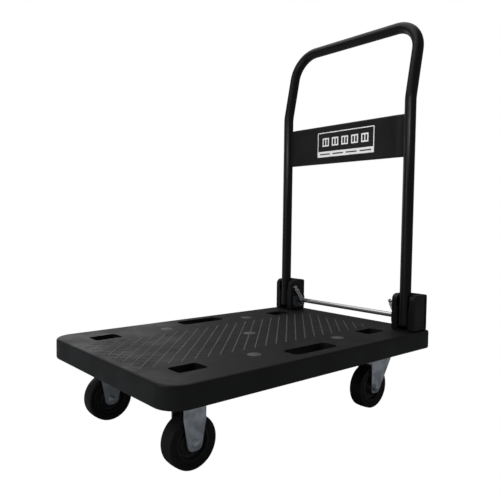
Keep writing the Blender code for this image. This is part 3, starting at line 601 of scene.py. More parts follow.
def slab_mesh(
    name: str, outlines: Sequence[Sequence[Vector]], thickness: float, plane: Plane
) -> bpy.types.Mesh:
    """Extrudes an outline, and any holes in it, to both sides of its plane.

    Args:
        name: The mesh's name.
        outlines: The outer outline, then those of its holes.
        thickness: The whole thickness.
        plane: The plane that the outline is drawn in.

    Returns:
        A closed mesh.
    """
    data = bpy.data.curves.new(name, "CURVE")
    data.dimensions = "2D"
    data.fill_mode = "BOTH"
    data.extrude = thickness / 2
    for outline in outlines:
        spline = data.splines.new("POLY")
        spline.points.add(len(outline) - 1)
        for point, place in zip(spline.points, outline):
            point.co = (place[0], place[1], 0, 1)
        spline.use_cyclic_u = True
    curve = bpy.data.objects.new(name, data)
    bpy.context.scene.collection.objects.link(curve)
    mesh = evaluated(curve)
    bpy.data.objects.remove(curve, do_unlink=True)
    shape = bmesh.new()
    shape.from_mesh(mesh)
    bmesh.ops.remove_doubles(shape, verts=shape.verts, dist=1e-6)
    bmesh.ops.dissolve_limit(shape, angle_limit=0.01, verts=shape.verts, edges=shape.edges)
    bmesh.ops.transform(shape, matrix=Matrix(plane.value), verts=shape.verts)
    return from_bmesh(name, shape)


def tube_mesh(name: str, points: Sequence[Vector], radius: float, sides: int) -> bpy.types.Mesh:
    """Sweeps a round section along points.

    Args:
        name: The mesh's name.
        points: The centre line.
        radius: The section's radius.
        sides: The section's sides, an even number from 8.

    Returns:
        A closed mesh with flat ends.
    """
    data = bpy.data.curves.new(name, "CURVE")
    data.dimensions = "3D"
    data.bevel_depth = radius
    data.bevel_resolution = (sides - 4) // 2
    data.use_fill_caps = True
    spline = data.splines.new("POLY")
    spline.points.add(len(points) - 1)
    for point, place in zip(spline.points, points):
        point.co = (*place, 1)
    curve = bpy.data.objects.new(name, data)
    bpy.context.scene.collection.objects.link(curve)
    mesh = evaluated(curve)
    bpy.data.objects.remove(curve, do_unlink=True)
    shape = bmesh.new()
    shape.from_mesh(mesh)
    bmesh.ops.remove_doubles(shape, verts=shape.verts, dist=1e-6)
    return from_bmesh(name, shape)


def lathe_mesh(name: str, profile: Sequence[Point], steps: int, centre: Vector, axis: str) -> bpy.types.Mesh:
    """Turns a closed profile round an axis.

    Args:
        name: The mesh's name.
        profile: (radius, height along the axis) of each point; a radius of 0 closes an end.
        steps: Steps in a full turn.
        centre: Where the profile's height is 0.
        axis: "Y" or "Z".

    Returns:
        A closed mesh.
    """
    shape = bmesh.new()
    rings = []
    for radius, height in profile:
        count = steps if radius > 0 else 1
        ring = []
        for step in range(count):
            angle = math.tau * step / count
            local = Vector((radius * math.cos(angle), radius * math.sin(angle), height))
            if axis == "Y":
                local = Vector((local.x, local.z, -local.y))
            ring.append(shape.verts.new(centre + local))
        rings.append(ring)
    closed = profile[0][0] > 0
    for index in range(len(rings) if closed else len(rings) - 1):
        one, two = rings[index], rings[(index + 1) % len(rings)]
        for step in range(steps):
            after = (step + 1) % steps
            corners = [one[turn % len(one)] for turn in (step, after)]
            corners += [two[turn % len(two)] for turn in (after, step)]
            corners = list(dict.fromkeys(corners))
            if len(corners) > 2:
                shape.faces.new(corners)
    return from_bmesh(name, shape)


def drum_mesh(
    name: str, radius: float, length: float, centre: Vector, axis: str, sides: int = 32
) -> bpy.types.Mesh:
    """Returns a plain drum, used as a cutter or as one part of a joined piece."""
    half = length / 2
    return lathe_mesh(name, [(0, half), (radius, half), (radius, -half), (0, -half)], sides, centre, axis)


def box_mesh(name: str, bounds: Iterable[tuple[Vector, Vector]]) -> bpy.types.Mesh:
    """Returns one mesh of separate boxes, each given by its low and high corner."""
    shape = bmesh.new()
    for low, high in bounds:
        low, high = Vector(low), Vector(high)
        size = Matrix.Diagonal((*(high - low), 1.0))
        bmesh.ops.create_cube(shape, size=1.0, matrix=Matrix.Translation((low + high) / 2) @ size)
    return from_bmesh(name, shape)


def joined(name: str, meshes: Sequence[bpy.types.Mesh], angle: float = 35.0) -> bpy.types.Object:
    """Puts several closed meshes in one piece."""
    shape = bmesh.new()
    for mesh in meshes:
        shape.from_mesh(mesh)
        bpy.data.meshes.remove(mesh)
    mesh = bpy.data.meshes.new(name)
    shape.to_mesh(mesh)
    shape.free()
    return put(name, mesh, angle)


class Carver:
    """Cuts, joins and rounds one piece by modifiers, then applies them."""

    def __init__(self, piece: bpy.types.Object) -> None:
        """Starts on a piece.

        Args:
            piece: The object to work on.
        """
        self.piece = piece
        self.tools: list[bpy.types.Object] = []

    def use(self, mesh: bpy.types.Mesh, operation: str) -> Carver:
        """Adds an exact Boolean with a tool's mesh."""
        tool = bpy.data.objects.new("tool_" + mesh.name, mesh)
        bpy.context.scene.collection.objects.link(tool)
        step = self.piece.modifiers.new("shape", "BOOLEAN")
        step.operation = operation
        step.solver = "EXACT"
        step.object = tool
        self.tools.append(tool)
        return self

    def cut(self, mesh: bpy.types.Mesh) -> Carver:
        """Removes a tool's volume."""
        return self.use(mesh, "DIFFERENCE")

    def fuse(self, mesh: bpy.types.Mesh) -> Carver:
        """Adds a tool's volume."""
        return self.use(mesh, "UNION")

    def keep(self, mesh: bpy.types.Mesh) -> Carver:
        """Keeps only what is inside a tool."""
        return self.use(mesh, "INTERSECT")

    def round(self, width: float, segments: int = 2, angle: float = 40.0) -> Carver:
        """Rounds the edges that are sharper than an angle."""
        step = self.piece.modifiers.new("round", "BEVEL")
        step.width = width
        step.segments = segments
        step.limit_method = "ANGLE"
        step.angle_limit = math.radians(angle)
        step.harden_normals = False
        return self

    def done(self, angle: float = 35.0) -> bpy.types.Object:
        """Applies the steps, removes the tools and returns the piece."""
        mesh = evaluated(self.piece)
        self.piece.modifiers.clear()
        self.piece.data = mesh
        mesh.shade_smooth()
        mesh.set_sharp_from_angle(angle=math.radians(angle))
        for tool in self.tools:
            bpy.data.objects.remove(tool, do_unlink=True)
        return self.piece

    def finished(self, angle: float = 35.0) -> bpy.types.Object:
        """Applies the steps and keeps the broad faces' shading flat up to their rounded edges."""
        piece = self.done(angle)
        step = piece.modifiers.new("flat_faces", "WEIGHTED_NORMAL")
        step.keep_sharp = True
        step.weight = 100
        return piece


def dress(piece: bpy.types.Object, finish: Finish, body: str | None = None) -> bpy.types.Object:
    """Gives a piece its finish, and a body to ride on.

    Args:
        piece: The object.
        finish: Its finish.
        body: The CAD body, or None for a CAD node, which rides already.

    Returns:
        The same object.
    """
    piece.data.materials.clear()
    piece.data.materials.append(finish.material())
    if body is not None:
        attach(piece, body)
    return piece


# ---------------------------------------------------------------- deck


@dataclass
class Deck:
    """The moulded deck: a skirted, ribbed tray with a recessed tread, hand slots and pockets."""

    skirt_wall: float = 5.0 * MM
    top_wall: float = 4.0 * MM
    rib_wall: float = 4.0 * MM
    rib_recess: float = 8.0 * MM
    front_corner: float = 46.0 * MM
    rear_corner: float = 14.0 * MM
    edge: float = 4.5 * MM
    slot: tuple[float, float, float] = (126.0 * MM, 44.0 * MM, 14.0 * MM)
    slot_from_edge: float = 48.0 * MM
    pocket: tuple[float, float, float] = (62.0 * MM, 41.0 * MM, 6.0 * MM)
    pocket_depth: float = 14.0 * MM
    pocket_x: tuple[float, float] = (-278.0 * MM, 240.0 * MM)
    pocket_from_edge: float = 82.5 * MM
    tread_x: tuple[float, float] = (-351.0 * MM, 302.0 * MM)
    shortest_rib: float = 24.0 * MM
    tread_half_width: float = 118.0 * MM
    tread_depth: float = 0.6 * MM
    rib_pitch: float = 21.0 * MM
    rib_offset: float = 1.1 * MM
    rib_width: float = 2.6 * MM
    cross_offset: float = -6.3 * MM
    cross_width: float = 3.0 * MM
    cross_height: float = 0.40 * MM
    cap_gap: float = 0.3 * MM
    low: Vector = field(default_factory=Vector)
    high: Vector = field(default_factory=Vector)

    def build(self) -> None:
        """Builds the deck's tray, its tread and its caps."""
        self.low, self.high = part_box("deck")
        self.build_tray()
        self.build_tread()
        self.build_caps()

    @property
    def half_width(self) -> float:
        """Half of the deck's width."""
        return self.high.y

    def outline(self, inset: float, steps: int) -> list[Vector]:
        """Returns the deck's plan outline, that far inside its edge."""
        x, y = self.high.x - inset, self.high.y - inset
        front, rear = self.front_corner - inset, self.rear_corner - inset
        return rounded([(-x, -y, front), (x, -y, rear), (x, y, rear), (-x, y, front)], steps)

    def bays(self) -> list[tuple[float, float]]:
        """Returns the spans along X between the cross ribs under the deck."""
        half_pocket = self.pocket[0] / 2 + self.rib_wall / 2
        half_slot = self.slot[0] / 2 + self.rib_wall / 2
        front, rear = self.pocket_x
        edge = self.high.x - self.skirt_wall
        lines = [
            -edge,
            front - half_pocket,
            front + half_pocket,
            (front + half_pocket - half_slot) / 2,
            -half_slot,
            half_slot,
            (rear - half_pocket + half_slot) / 2,
            rear - half_pocket,
            rear + half_pocket,
            edge,
        ]
        return list(zip(lines, lines[1:]))

    def cells(self) -> list[tuple[Vector, Vector]]:
        """Returns the open boxes between the ribs under the deck."""
        inner = self.half_width - self.skirt_wall
        pocket_y = self.half_width - self.pocket_from_edge
        slot_y = self.half_width - self.slot_from_edge
        shift = self.rib_wall / 2
        field_edge = pocket_y - self.pocket[1] / 2 - shift
        ceiling = self.high.z - self.top_wall
        found = []
        for start, end in self.bays():
            middle = (start + end) / 2
            rows = [(0.0, field_edge / 2, ceiling), (field_edge / 2, field_edge, ceiling)]
            near_pocket = min(abs(middle - x) for x in self.pocket_x) < self.pocket[0] / 2
            if abs(middle) < self.slot[0] / 2:
                rows.append((field_edge, slot_y - self.slot[1] / 2 - shift, ceiling))
                rows.append((slot_y + self.slot[1] / 2 + shift, inner, ceiling))
            elif near_pocket:
                split = pocket_y + self.pocket[1] / 2 + shift
                rows.append((field_edge, split, ceiling - self.pocket_depth))
                rows.append((split, inner, ceiling))
            else:
                rows.append((field_edge, inner, ceiling))
            for near, far, top in rows:
                for sign in (-1, 1):
                    ends = sorted((sign * (near + shift), sign * (far - shift * (far < inner))))
                    low = Vector((start + shift, ends[0], self.low.z - self.edge))
                    found.append((low, Vector((end - shift, ends[1], top))))
        return found

    def build_tray(self) -> None:
        """Builds the tray from its outline by the cuts that the mould makes."""
        height = self.high.z - self.low.z
        body = slab_mesh("deck_shell", [self.outline(0.0, 14)], height, Plane.XY)
        body.transform(Matrix.Translation((0, 0, (self.high.z + self.low.z) / 2)))
        blank = Carver(put("deck_shell", body)).round(self.edge, 4).done()
        carver = Carver(blank)
        recess = slab_mesh("recess", [self.outline(self.skirt_wall, 8)], 2 * self.rib_recess, Plane.XY)
        recess.transform(Matrix.Translation((0, 0, self.low.z)))
        carver.cut(recess)
        cells = put("cells", box_mesh("cells", self.cells()))
        bound = slab_mesh("bound", [self.outline(self.skirt_wall + 1.0 * MM, 8)], 2 * height, Plane.XY)
        bound.transform(Matrix.Translation((0, 0, self.high.z)))
        carver.cut(Carver(cells).keep(bound).done().data.copy())
        bpy.data.objects.remove(cells, do_unlink=True)
        for side in Side:
            self.cut_side(carver, side, height)
        carver.cut(self.tread_pan())
        for node in self.cap_nodes():
            low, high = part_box(node)
            radius = (high.x - low.x) / 2 + self.cap_gap
            carver.cut(drum_mesh("seat", radius, 2 * (high.z - low.z), top_of(node), "Z", 48))
        carver.round(0.7 * MM, 2, 50.0)
        shell = dress(carver.finished(60.0), DECK_PLASTIC, "chassis")
        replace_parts(shell, "deck")

    def tread_pan(self) -> bpy.types.Mesh:
        """Returns the shallow pan cut for the tread, with sides that slope gently up to the deck."""
        run = 5.0 * MM
        grow = 1.0 * MM
        shape = bmesh.new()
        rings = []
        for z, out in ((-self.tread_depth, 0.0), (grow, run * (1 + grow / self.tread_depth))):
            x0, x1 = self.tread_x[0] - out * 0.3, self.tread_x[1] + out
            y = self.tread_half_width + out
            corners = ((x0, -y), (x1, -y), (x1, y), (x0, y))
            rings.append([shape.verts.new((*corner, self.high.z + z)) for corner in corners])
        for corner in range(4):
            after = (corner + 1) % 4
            shape.faces.new((rings[0][corner], rings[0][after], rings[1][after], rings[1][corner]))
        shape.faces.new(rings[0][::-1])
        shape.faces.new(rings[1])
        return from_bmesh("tread_pan", shape)

    def cut_side(self, carver: Carver, side: Side, height: float) -> None:
        """Cuts one side's hand slot and pockets.

        Args:
            carver: The tray's carver.
            side: Which side.
            height: The deck's height.
        """
        length, width, corner = self.slot
        y = side.value * (self.half_width - self.slot_from_edge)
        outline = rounded(rectangle(length, width, corner, (0.0, y)), 8)
        slot = slab_mesh("slot", [outline], 3 * height, Plane.XY)
        slot.transform(Matrix.Translation((0, 0, self.high.z)))
        carver.cut(slot)
        length, width, corner = self.pocket
        y = side.value * (self.half_width - self.pocket_from_edge)
        for x in self.pocket_x:
            outline = rounded(rectangle(length, width, corner, (x, y)), 5)
            pocket = slab_mesh("pocket", [outline], 2 * self.pocket_depth, Plane.XY)
            pocket.transform(Matrix.Translation((0, 0, self.high.z)))
            carver.cut(pocket)

    def rib_runs(self, normal: Vector, offset: float) -> list[tuple[Vector, Vector]]:
        """Returns the straight runs of one set of slanted ribs, clear of the middle cap.

        Args:
            normal: The plan direction across the ribs.
            offset: Where the first rib stands along it.

        Returns:
            Each run's two ends.
        """
        along = Vector((-normal.y, normal.x))
        margin = 1.2 * MM
        x0, x1 = self.tread_x[0] + margin, self.tread_x[1] - margin
        y1 = self.tread_half_width - margin
        clear = 17.0 * MM
        runs = []
        count = int(0.5 / self.rib_pitch)
        for index in range(-count, count + 1):
            across = offset + index * self.rib_pitch
            foot = normal * across
            spans = []
            for axis, low, high in ((0, x0, x1), (1, -y1, y1)):
                ends = sorted(((low - foot[axis]) / along[axis], (high - foot[axis]) / along[axis]))
                spans.append(ends)
            start, end = max(spans[0][0], spans[1][0]), min(spans[0][1], spans[1][1])
            parts = [(start, end)]
            if abs(across) < clear:
                gap = math.sqrt(clear**2 - across**2)
                parts = [(start, -gap), (gap, end)]
            runs += [(foot + along * a, foot + along * b) for a, b in parts if b - a > self.shortest_rib]
        return runs

    def ribs_mesh(
        self, name: str, normal: Vector, offset: float, width: float, height: float
    ) -> bpy.types.Mesh:
        """Builds one set of slanted ribs with sloping flanks and ends.

        Args:
            name: The mesh's name.
            normal: The plan direction across the ribs.
            offset: Where the first rib stands along it.
            width: A rib's width at its foot.
            height: Its height over the tread's floor.

        Returns:
            The ribs, as separate closed bars.
        """
        floor = self.high.z - self.tread_depth
        sunk = 0.4 * MM
        shape = bmesh.new()
        for start, end in self.rib_runs(normal, offset):
            along = (end - start).normalized()
            layers = []
            for z, half, pull in (
                (floor - sunk, width / 2, 0.0),
                (floor, width / 2, 0.0),
                (floor + height * 0.75, width * 0.30, height * 0.75),
                (floor + height, width * 0.16, height),
            ):
                ring = []
                for place, sign in ((start, 1), (end, -1)):
                    middle = place + along * pull * sign
                    ring += [middle + normal * half * sign, middle - normal * half * sign]
                layers.append([shape.verts.new((p.x, p.y, z)) for p in ring])
            for low, high in zip(layers, layers[1:]):
                for corner in range(4):
                    after = (corner + 1) % 4
                    shape.faces.new((low[corner], low[after], high[after], high[corner]))
            shape.faces.new(layers[-1])
            shape.faces.new(layers[0][::-1])
        return from_bmesh(name, shape)

    def build_tread(self) -> None:
        """Builds the bold slanted ribs, painted lighter as a painted highlight, and the lower ribs across
        them in the deck's plastic.
        """
        diagonal = math.sqrt(0.5)
        across, along = Vector((diagonal, -diagonal)), Vector((diagonal, diagonal))
        bold = self.ribs_mesh("ribs", across, self.rib_offset, self.rib_width, self.tread_depth)
        # The bold ribs' lighter colour is a painted highlight, not a different plastic.
        dress(put("tread_ribs", bold, 20.0), RIB_PAINTED_HIGHLIGHT, "chassis")
        low = self.ribs_mesh("cross", along, self.cross_offset, self.cross_width, self.cross_height)
        dress(put("tread_cross_ribs", low, 20.0), DECK_PLASTIC, "chassis")

    def cap_nodes(self) -> list[str]:
        """Returns the names of the five caps."""
        return [name for name in FRAME["nodes"] if name.startswith("deck_cap")]

    def build_caps(self) -> None:
        """Builds the five caps, each with a shallow ring near its edge."""
        for node in self.cap_nodes():
            low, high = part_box(node)
            centre = top_of(node)
            radius = (high.x - low.x) / 2
            profile = [
                (0.0, 0.0),
                (radius - 3.5 * MM, 0.0),
                (radius - 3.0 * MM, -0.35 * MM),
                (radius - 2.4 * MM, -0.35 * MM),
                (radius - 1.9 * MM, 0.0),
                (radius - 0.6 * MM, 0.0),
                (radius, -0.5 * MM),
                (radius, low.z - high.z),
                (0.0, low.z - high.z),
            ]
            cap = put(node + "_disc", lathe_mesh(node, profile, 48, centre, "Z"), 50.0)
            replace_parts(dress(cap, CAP_PLASTIC, "chassis"), node)


# ---------------------------------------------------------------- handle


@dataclass
class PushHandle:
    """The bent tube with its shoes, the pressed panel between its legs and the printed label."""

    radius: float = 13.3 * MM
    top: float = 913.7 * MM
    kink: float = 731.0 * MM
    lean: float = 36.7 * MM
    corner: float = 67.0 * MM
    kink_radius: float = 80.0 * MM
    panel_flange: float = 10.0 * MM
    panel_sheet: float = 2.0 * MM
    label_border: float = 2.4 * MM
    label_strip: float = 15.0 * MM
    film: float = 0.25 * MM
    film_face: float = 0.45 * MM
    ink_face: float = 0.52 * MM
    mark_face: float = 0.58 * MM
    x: float = 0.0
    y: float = 0.0
    foot: float = 0.0

    def build(self) -> None:
        """Builds the tube, its shoes, the panel and the label."""
        low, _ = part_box("handle_tube")
        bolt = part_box("pivot_bolt_right")
        self.x = (bolt[0].x + bolt[1].x) / 2
        self.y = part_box("handle_tube")[1].y - self.radius
        self.foot = low.z
        tube = put("push_tube", tube_mesh("push_tube", self.path(), self.radius, 40), 50.0)
        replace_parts(dress(tube, BLACK_PAINT, "handle"), "handle_tube")
        for side in Side:
            node = f"handle_foot_{side.word}"
            shoe = FRAME["nodes"][node]
            step = shoe.modifiers.new("weld", "WELD")
            step.merge_threshold = 0.00001
            dress(shoe, SEAT_PLASTIC)
        self.build_panel()
        self.build_label()

    def path(self) -> list[Vector]:
        """Returns the tube's centre line, up one leg, across the top and down the other."""
        lean = math.atan2(self.lean, self.top - self.kink)
        reach = (self.top - self.kink) / math.cos(lean) - self.corner
        half_arc = self.kink_radius * math.tan(lean / 2)
        side = [Vector((self.x, 0, self.foot)), Vector((self.x, 0, (self.foot + self.kink) / 2))]
        for step in range(9):
            angle = lean * step / 8
            x = self.x + self.kink_radius * (1 - math.cos(angle))
            side.append(Vector((x, 0, self.kink - half_arc + self.kink_radius * math.sin(angle))))
        slope = Vector((math.sin(lean), 0, math.cos(lean)))
        start = Vector((self.x, 0, self.kink)) + slope * reach
        for step in range(25):
            angle = math.pi / 2 * step / 24
            turn = start + slope * self.corner * math.sin(angle)
            side.append(turn + Vector((0, self.corner * (1 - math.cos(angle)), 0)))
        near = [Vector((p.x, p.y - self.y, p.z)) for p in side]
        return near + [Vector((p.x, -p.y, p.z)) for p in reversed(near)]

    def panel_section(self, inset: float) -> list[Point]:
        """Returns the panel's outer line in X and Z, from the lower flange to the upper one.

        Args:
            inset: How far the face is set back here.

        Returns:
            The line's points.
        """
        low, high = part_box("handle_panel")
        bend = 4.0 * MM
        front = self.x - self.panel_flange / 2 + inset
        rear = high.x
        points: list[Point] = [(rear, low.z)]
        for centre_z, first in ((low.z + bend, -90.0), (high.z - bend, 180.0)):
            for step in range(7):
                angle = math.radians(first - 90.0 * step / 6)
                points.append((front + bend + bend * math.cos(angle), centre_z + bend * math.sin(angle)))
        return points + [(rear, high.z)]

    def build_panel(self) -> None:
        """Builds the pressed panel: flanged top and bottom, with a joggle near each end."""
        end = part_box("handle_panel")[1].y
        joggle = 1.6 * MM
        shape = bmesh.new()
        stations = []
        for sign in (-1, 1):
            for from_end, inset in ((0.0, joggle), (13.0 * MM, joggle), (16.0 * MM, 0.0), (30.0 * MM, 0.0)):
                stations.append((sign * (end - from_end), inset))
        stations.sort()
        lines = [[shape.verts.new((x, y, z)) for x, z in self.panel_section(inset)] for y, inset in stations]
        for one, two in zip(lines, lines[1:]):
            for step in range(len(one) - 1):
                shape.faces.new((one[step], one[step + 1], two[step + 1], two[step]))
        mesh = from_bmesh("panel", shape)
        panel = put("pressed_panel", mesh, 30.0)
        if sum(face.normal.x for face in mesh.polygons) > 0:
            mesh.flip_normals()
        wall = panel.modifiers.new("wall", "SOLIDIFY")
        wall.thickness = self.panel_sheet
        wall.offset = -1.0
        panel = Carver(panel).round(0.4 * MM, 2, 60.0).finished(45.0)
        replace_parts(dress(panel, BLACK_PAINT, "handle"), "handle_panel")

    def plate_at(
        self, name: str, size: Point, at: Point, depth: float, radius: float, finish: Finish
    ) -> bpy.types.Object:
        """Builds one printed layer of the label on the panel's face.

        Args:
            name: The piece's name.
            size: Its length along Y and height along Z.
            at: Its middle in Y and Z.
            depth: How far its face stands in front of the panel.
            radius: Its corner radius.
            finish: Its ink.

        Returns:
            The layer.
        """
        outline = rounded(rectangle(*size, radius, at), 4)
        mesh = slab_mesh(name, [outline], self.film, Plane.YZ)
        front = self.x - self.panel_flange / 2
        mesh.transform(Matrix.Translation((front - depth + self.film / 2, 0, 0)))
        return dress(put(name, mesh), finish, "handle")

    def build_label(self) -> None:
        """Builds a plain label: a white film, a dark field with simple parcel marks and a white strip."""
        low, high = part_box("panel_label")
        length, height = high.y - low.y, high.z - low.z
        y, z = (low.y + high.y) / 2, (low.z + high.z) / 2
        base = self.plate_at("label_film", (length, height), (y, z), self.film_face, 1.5 * MM, LABEL_LIGHT)
        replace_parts(base, "panel_label")
        tall = height - self.label_strip - self.label_border
        middle = z + (self.label_strip - self.label_border) / 2
        dark_size = (length - 2 * self.label_border, tall)
        self.plate_at("label_field", dark_size, (y, middle), self.ink_face, 0.8 * MM, LABEL_DARK)
        self.build_marks(y, middle, tall)
        strip = z - height / 2 + self.label_strip / 2
        rule = (length * 0.19, 3.2 * MM)
        for index, share in enumerate((-0.36, -0.12, 0.12, 0.36)):
            at = (y + share * length, strip)
            self.plate_at(f"label_rule_{index}", rule, at, self.ink_face, 0.4 * MM, LABEL_DARK)

    def build_marks(self, y: float, z: float, tall: float) -> None:
        """Builds a row of plain parcel outlines in the label's dark field.

        Args:
            y: The field's middle in Y.
            z: The field's middle in Z.
            tall: The field's height.
        """
        size = tall * 0.46
        line = size * 0.16
        for index in range(5):
            at = (y + (index - 2) * size * 1.45, z)
            outer = [Vector(p[:2]) for p in rectangle(size, size, 0.0, at)]
            gap = (size - 3 * line) / 2
            holes = []
            for sign in (-1, 1):
                centre = (at[0] + sign * (gap + line) / 2, at[1])
                holes.append([Vector(p[:2]) for p in rectangle(gap, size - 2 * line, 0.0, centre)])
            mesh = slab_mesh("mark", [outer, *holes], self.film, Plane.YZ)
            front = self.x - self.panel_flange / 2 - self.mark_face
            mesh.transform(Matrix.Translation((front + self.film / 2, 0, 0)))
            dress(put(f"label_mark_{index}", mesh), LABEL_LIGHT, "handle")


# ---------------------------------------------------------------- hinge seats


@dataclass
class HingeSeat:
    """One leg's seat: a moulded cover on a steel channel, its pivot, guide plate and spring."""

    side: Side
    wall: float = 2.5 * MM
    rear_wall: float = 6.2 * MM
    front_round: float = 14.0 * MM
    edge: float = 3.6 * MM
    channel: float = 17.3 * MM
    panel_inset: float = 7.0 * MM
    panel_depth: float = 1.2 * MM
    rod_radius: float = 6.0 * MM
    travel: float = 8.0 * MM
    slack: float = 0.4 * MM
    wire: float = 1.1 * MM
    coil: float = 4.3 * MM
    turns: int = 11

    def build(self) -> None:
        """Builds the cover, the channel's hardware and the spring."""
        self.build_cover()
        self.dress_channel()
        self.build_pivot()
        self.build_guide()
        self.build_spring()

    def node(self, name: str) -> str:
        """Returns this side's node name."""
        return f"{name}_{self.side.word}"

    def slot_outline(self) -> list[Vector]:
        """Returns the rod's slot in X and Z."""
        rod, pin = middle_of("release_rod"), middle_of(self.node("spring_pin"))
        along = Vector((rod.x - pin.x, rod.z - pin.z)).normalized()
        start = Vector((rod.x, rod.z))
        end = start + self.travel * along
        return stadium(tuple(start), tuple(end), self.rod_radius + self.slack)

    def side_outline(self, inset: float) -> list[Vector]:
        """Returns the cover's side view in X and Z, that far inside its edge."""
        low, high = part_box(self.node("hinge_cover"))
        x0, x1 = low.x + inset, high.x - inset
        z0, z1 = low.z + inset, high.z - inset
        corners = [
            (x0, z0, 0.0),
            (x1, z0, 0.0),
            (x1, z1, max(5.0 * MM - inset, 1.0 * MM)),
            (x0, z1, self.front_round - inset),
        ]
        return rounded(corners, 16)

    def build_cover(self) -> None:
        """Builds the cover: two thick cheeks joined at the back, open below and at the front."""
        low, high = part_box(self.node("hinge_cover"))
        middle = (low.y + high.y) / 2
        half = (high.y - low.y) / 2
        mesh = slab_mesh("cover", [self.side_outline(0.0)], 2 * half, Plane.XZ)
        mesh.transform(Matrix.Translation((0, middle, 0)))
        blank = Carver(put(self.node("cover"), mesh)).round(self.edge, 4).done()
        carver = Carver(blank)
        over = 4.0 * MM
        gap_low = Vector((low.x - over, middle - self.channel, low.z - over))
        gap_high = Vector((high.x - self.rear_wall, middle + self.channel, high.z + over))
        carver.cut(box_mesh("gap", [(gap_low, gap_high)]))
        x0, x1 = low.x + self.wall, high.x - self.rear_wall - self.wall
        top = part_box(self.node("hinge_base"))[1].z - self.wall
        hollows = []
        for sign in (-1, 1):
            ends = sorted((middle + sign * (self.channel - over), middle + sign * (half - self.wall)))
            hollows.append((Vector((x0, ends[0], low.z - over)), Vector((x1, ends[1], top))))
        carver.cut(box_mesh("hollow", hollows))
        slot = slab_mesh("slot", [self.slot_outline()], half * 1.1, Plane.XZ)
        slot.transform(Matrix.Translation((0, middle - self.side.value * half * 0.75, 0)))
        carver.cut(slot)
        border = slab_mesh("border", [self.side_outline(self.panel_inset)], 2 * self.panel_depth, Plane.XZ)
        border.transform(Matrix.Translation((0, middle + self.side.value * half, 0)))
        carver.cut(border)
        carver.round(0.6 * MM, 2, 50.0)
        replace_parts(dress(carver.finished(60.0), SEAT_PLASTIC, "chassis"), self.node("hinge_cover"))

    def dress_channel(self) -> None:
        """Rounds and paints the steel channel, and plates its screw and the spring's pin."""
        for name, finish in (("hinge_base", BLACK_PAINT), ("seat_screw", ZINC), ("spring_pin", ZINC)):
            soften(self.node(name), 0.35 * MM)
            dress(FRAME["nodes"][self.node(name)], finish)

    def build_pivot(self) -> None:
        """Rounds and plates the pivot bolt and its nut."""
        for name in ("pivot_bolt", "pivot_nut"):
            soften(self.node(name), 0.4 * MM)
            dress(FRAME["nodes"][self.node(name)], ZINC)

    def build_guide(self) -> None:
        """Rounds the rod's guide plate and gives it its dark plating."""
        soften(self.node("rod_guide"), 0.4 * MM)
        dress(FRAME["nodes"][self.node("rod_guide")], GUIDE_STEEL)

    def build_spring(self) -> None:
        """Builds the extension spring with a hook round the pin and one round the rod."""
        rod, pin = middle_of("release_rod"), middle_of(self.node("spring_pin"))
        low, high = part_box(self.node("release_spring"))
        y = (low.y + high.y) / 2
        top, bottom = Vector((pin.x, y, pin.z)), Vector((rod.x, y, rod.z))
        along = (bottom - top).normalized()
        across = Vector((0, 1, 0))
        third = along.cross(across)
        pin_radius = (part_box(self.node("spring_pin"))[1].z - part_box(self.node("spring_pin"))[0].z) / 2
        upper, lower = pin_radius + self.wire, self.rod_radius + self.wire
        points = hook(top, -along, third, upper)
        start = top + along * (upper + 1.5 * self.wire)
        end = bottom - along * (lower + 1.5 * self.wire)
        steps = self.turns * 16
        for step in range(steps + 1):
            share = step / steps
            angle = math.tau * self.turns * share
            ring = self.coil * (third * math.cos(angle) + across * math.sin(angle))
            points.append(start.lerp(end, share) + ring)
        points += hook(bottom, along, third, lower)[::-1]
        mesh = tube_mesh("spring", points, self.wire, 8)
        spring = put(self.node("pull_spring"), mesh, 60.0)
        spring.data.materials.append(CHROME.material())
        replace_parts(spring, self.node("release_spring"))
        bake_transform(spring)


def middle_of(node: str) -> Vector:
    """Returns the middle of a CAD node's box."""
    low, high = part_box(node)
    return (low + high) / 2


def top_of(node: str) -> Vector:
    """Returns the middle of the upper face of a CAD node's box."""
    low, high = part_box(node)
    return Vector(((low.x + high.x) / 2, (low.y + high.y) / 2, high.z))


def soften(node: str, width: float) -> None:
    """Rounds a CAD node's sharp edges by modifiers, which leave its mesh as it is.

    Args:
        node: The CAD node.
        width: The rounding's width.
    """
    piece = FRAME["nodes"][node]
    weld = piece.modifiers.new("weld", "WELD")
    weld.merge_threshold = 0.00001
    step = piece.modifiers.new("round", "BEVEL")
    step.width = width
    step.segments = 2
    step.limit_method = "ANGLE"
    step.angle_limit = math.radians(40)
    step.use_clamp_overlap = True


def hook(centre: Vector, outward: Vector, across: Vector, radius: float) -> list[Vector]:
    """Returns a wire's hook round a pin, from its free end to where it meets the coil.

    Args:
        centre: The pin's axis.
        outward: The direction from the coil to the pin.
        across: The direction in which the hook bulges.
        radius: The hook's centre-line radius.

    Returns:
        The hook's points.
    """
    points = []
    for step in range(13):
        angle = math.radians(-60 + 240 * step / 12)
        points.append(centre + radius * (outward * math.sin(angle) + across * math.cos(angle)))
    points.append(centre - outward * radius * 1.15 - across * radius * 0.5)
    return points


@dataclass
class ReleaseRod:
    """The foot rod across the back that both springs hold up."""

    radius: float = 6.0 * MM
    chamfer: float = 1.0 * MM

    def build(self) -> None:
        """Builds the polished rod with turned ends."""
        low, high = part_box("release_rod")
        middle = (low + high) / 2
        half = (high.y - low.y) / 2
        end = half - self.chamfer
        profile = [
            (0.0, half),
            (self.radius - self.chamfer, half),
            (self.radius, end),
            (self.radius, -end),
            (self.radius - self.chamfer, -half),
            (0.0, -half),
        ]
        rod = put("foot_rod", lathe_mesh("rod", profile, 40, middle, "Y"), 30.0)
        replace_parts(dress(rod, CHROME, "release_rod"), "release_rod")


# ---------------------------------------------------------------- casters


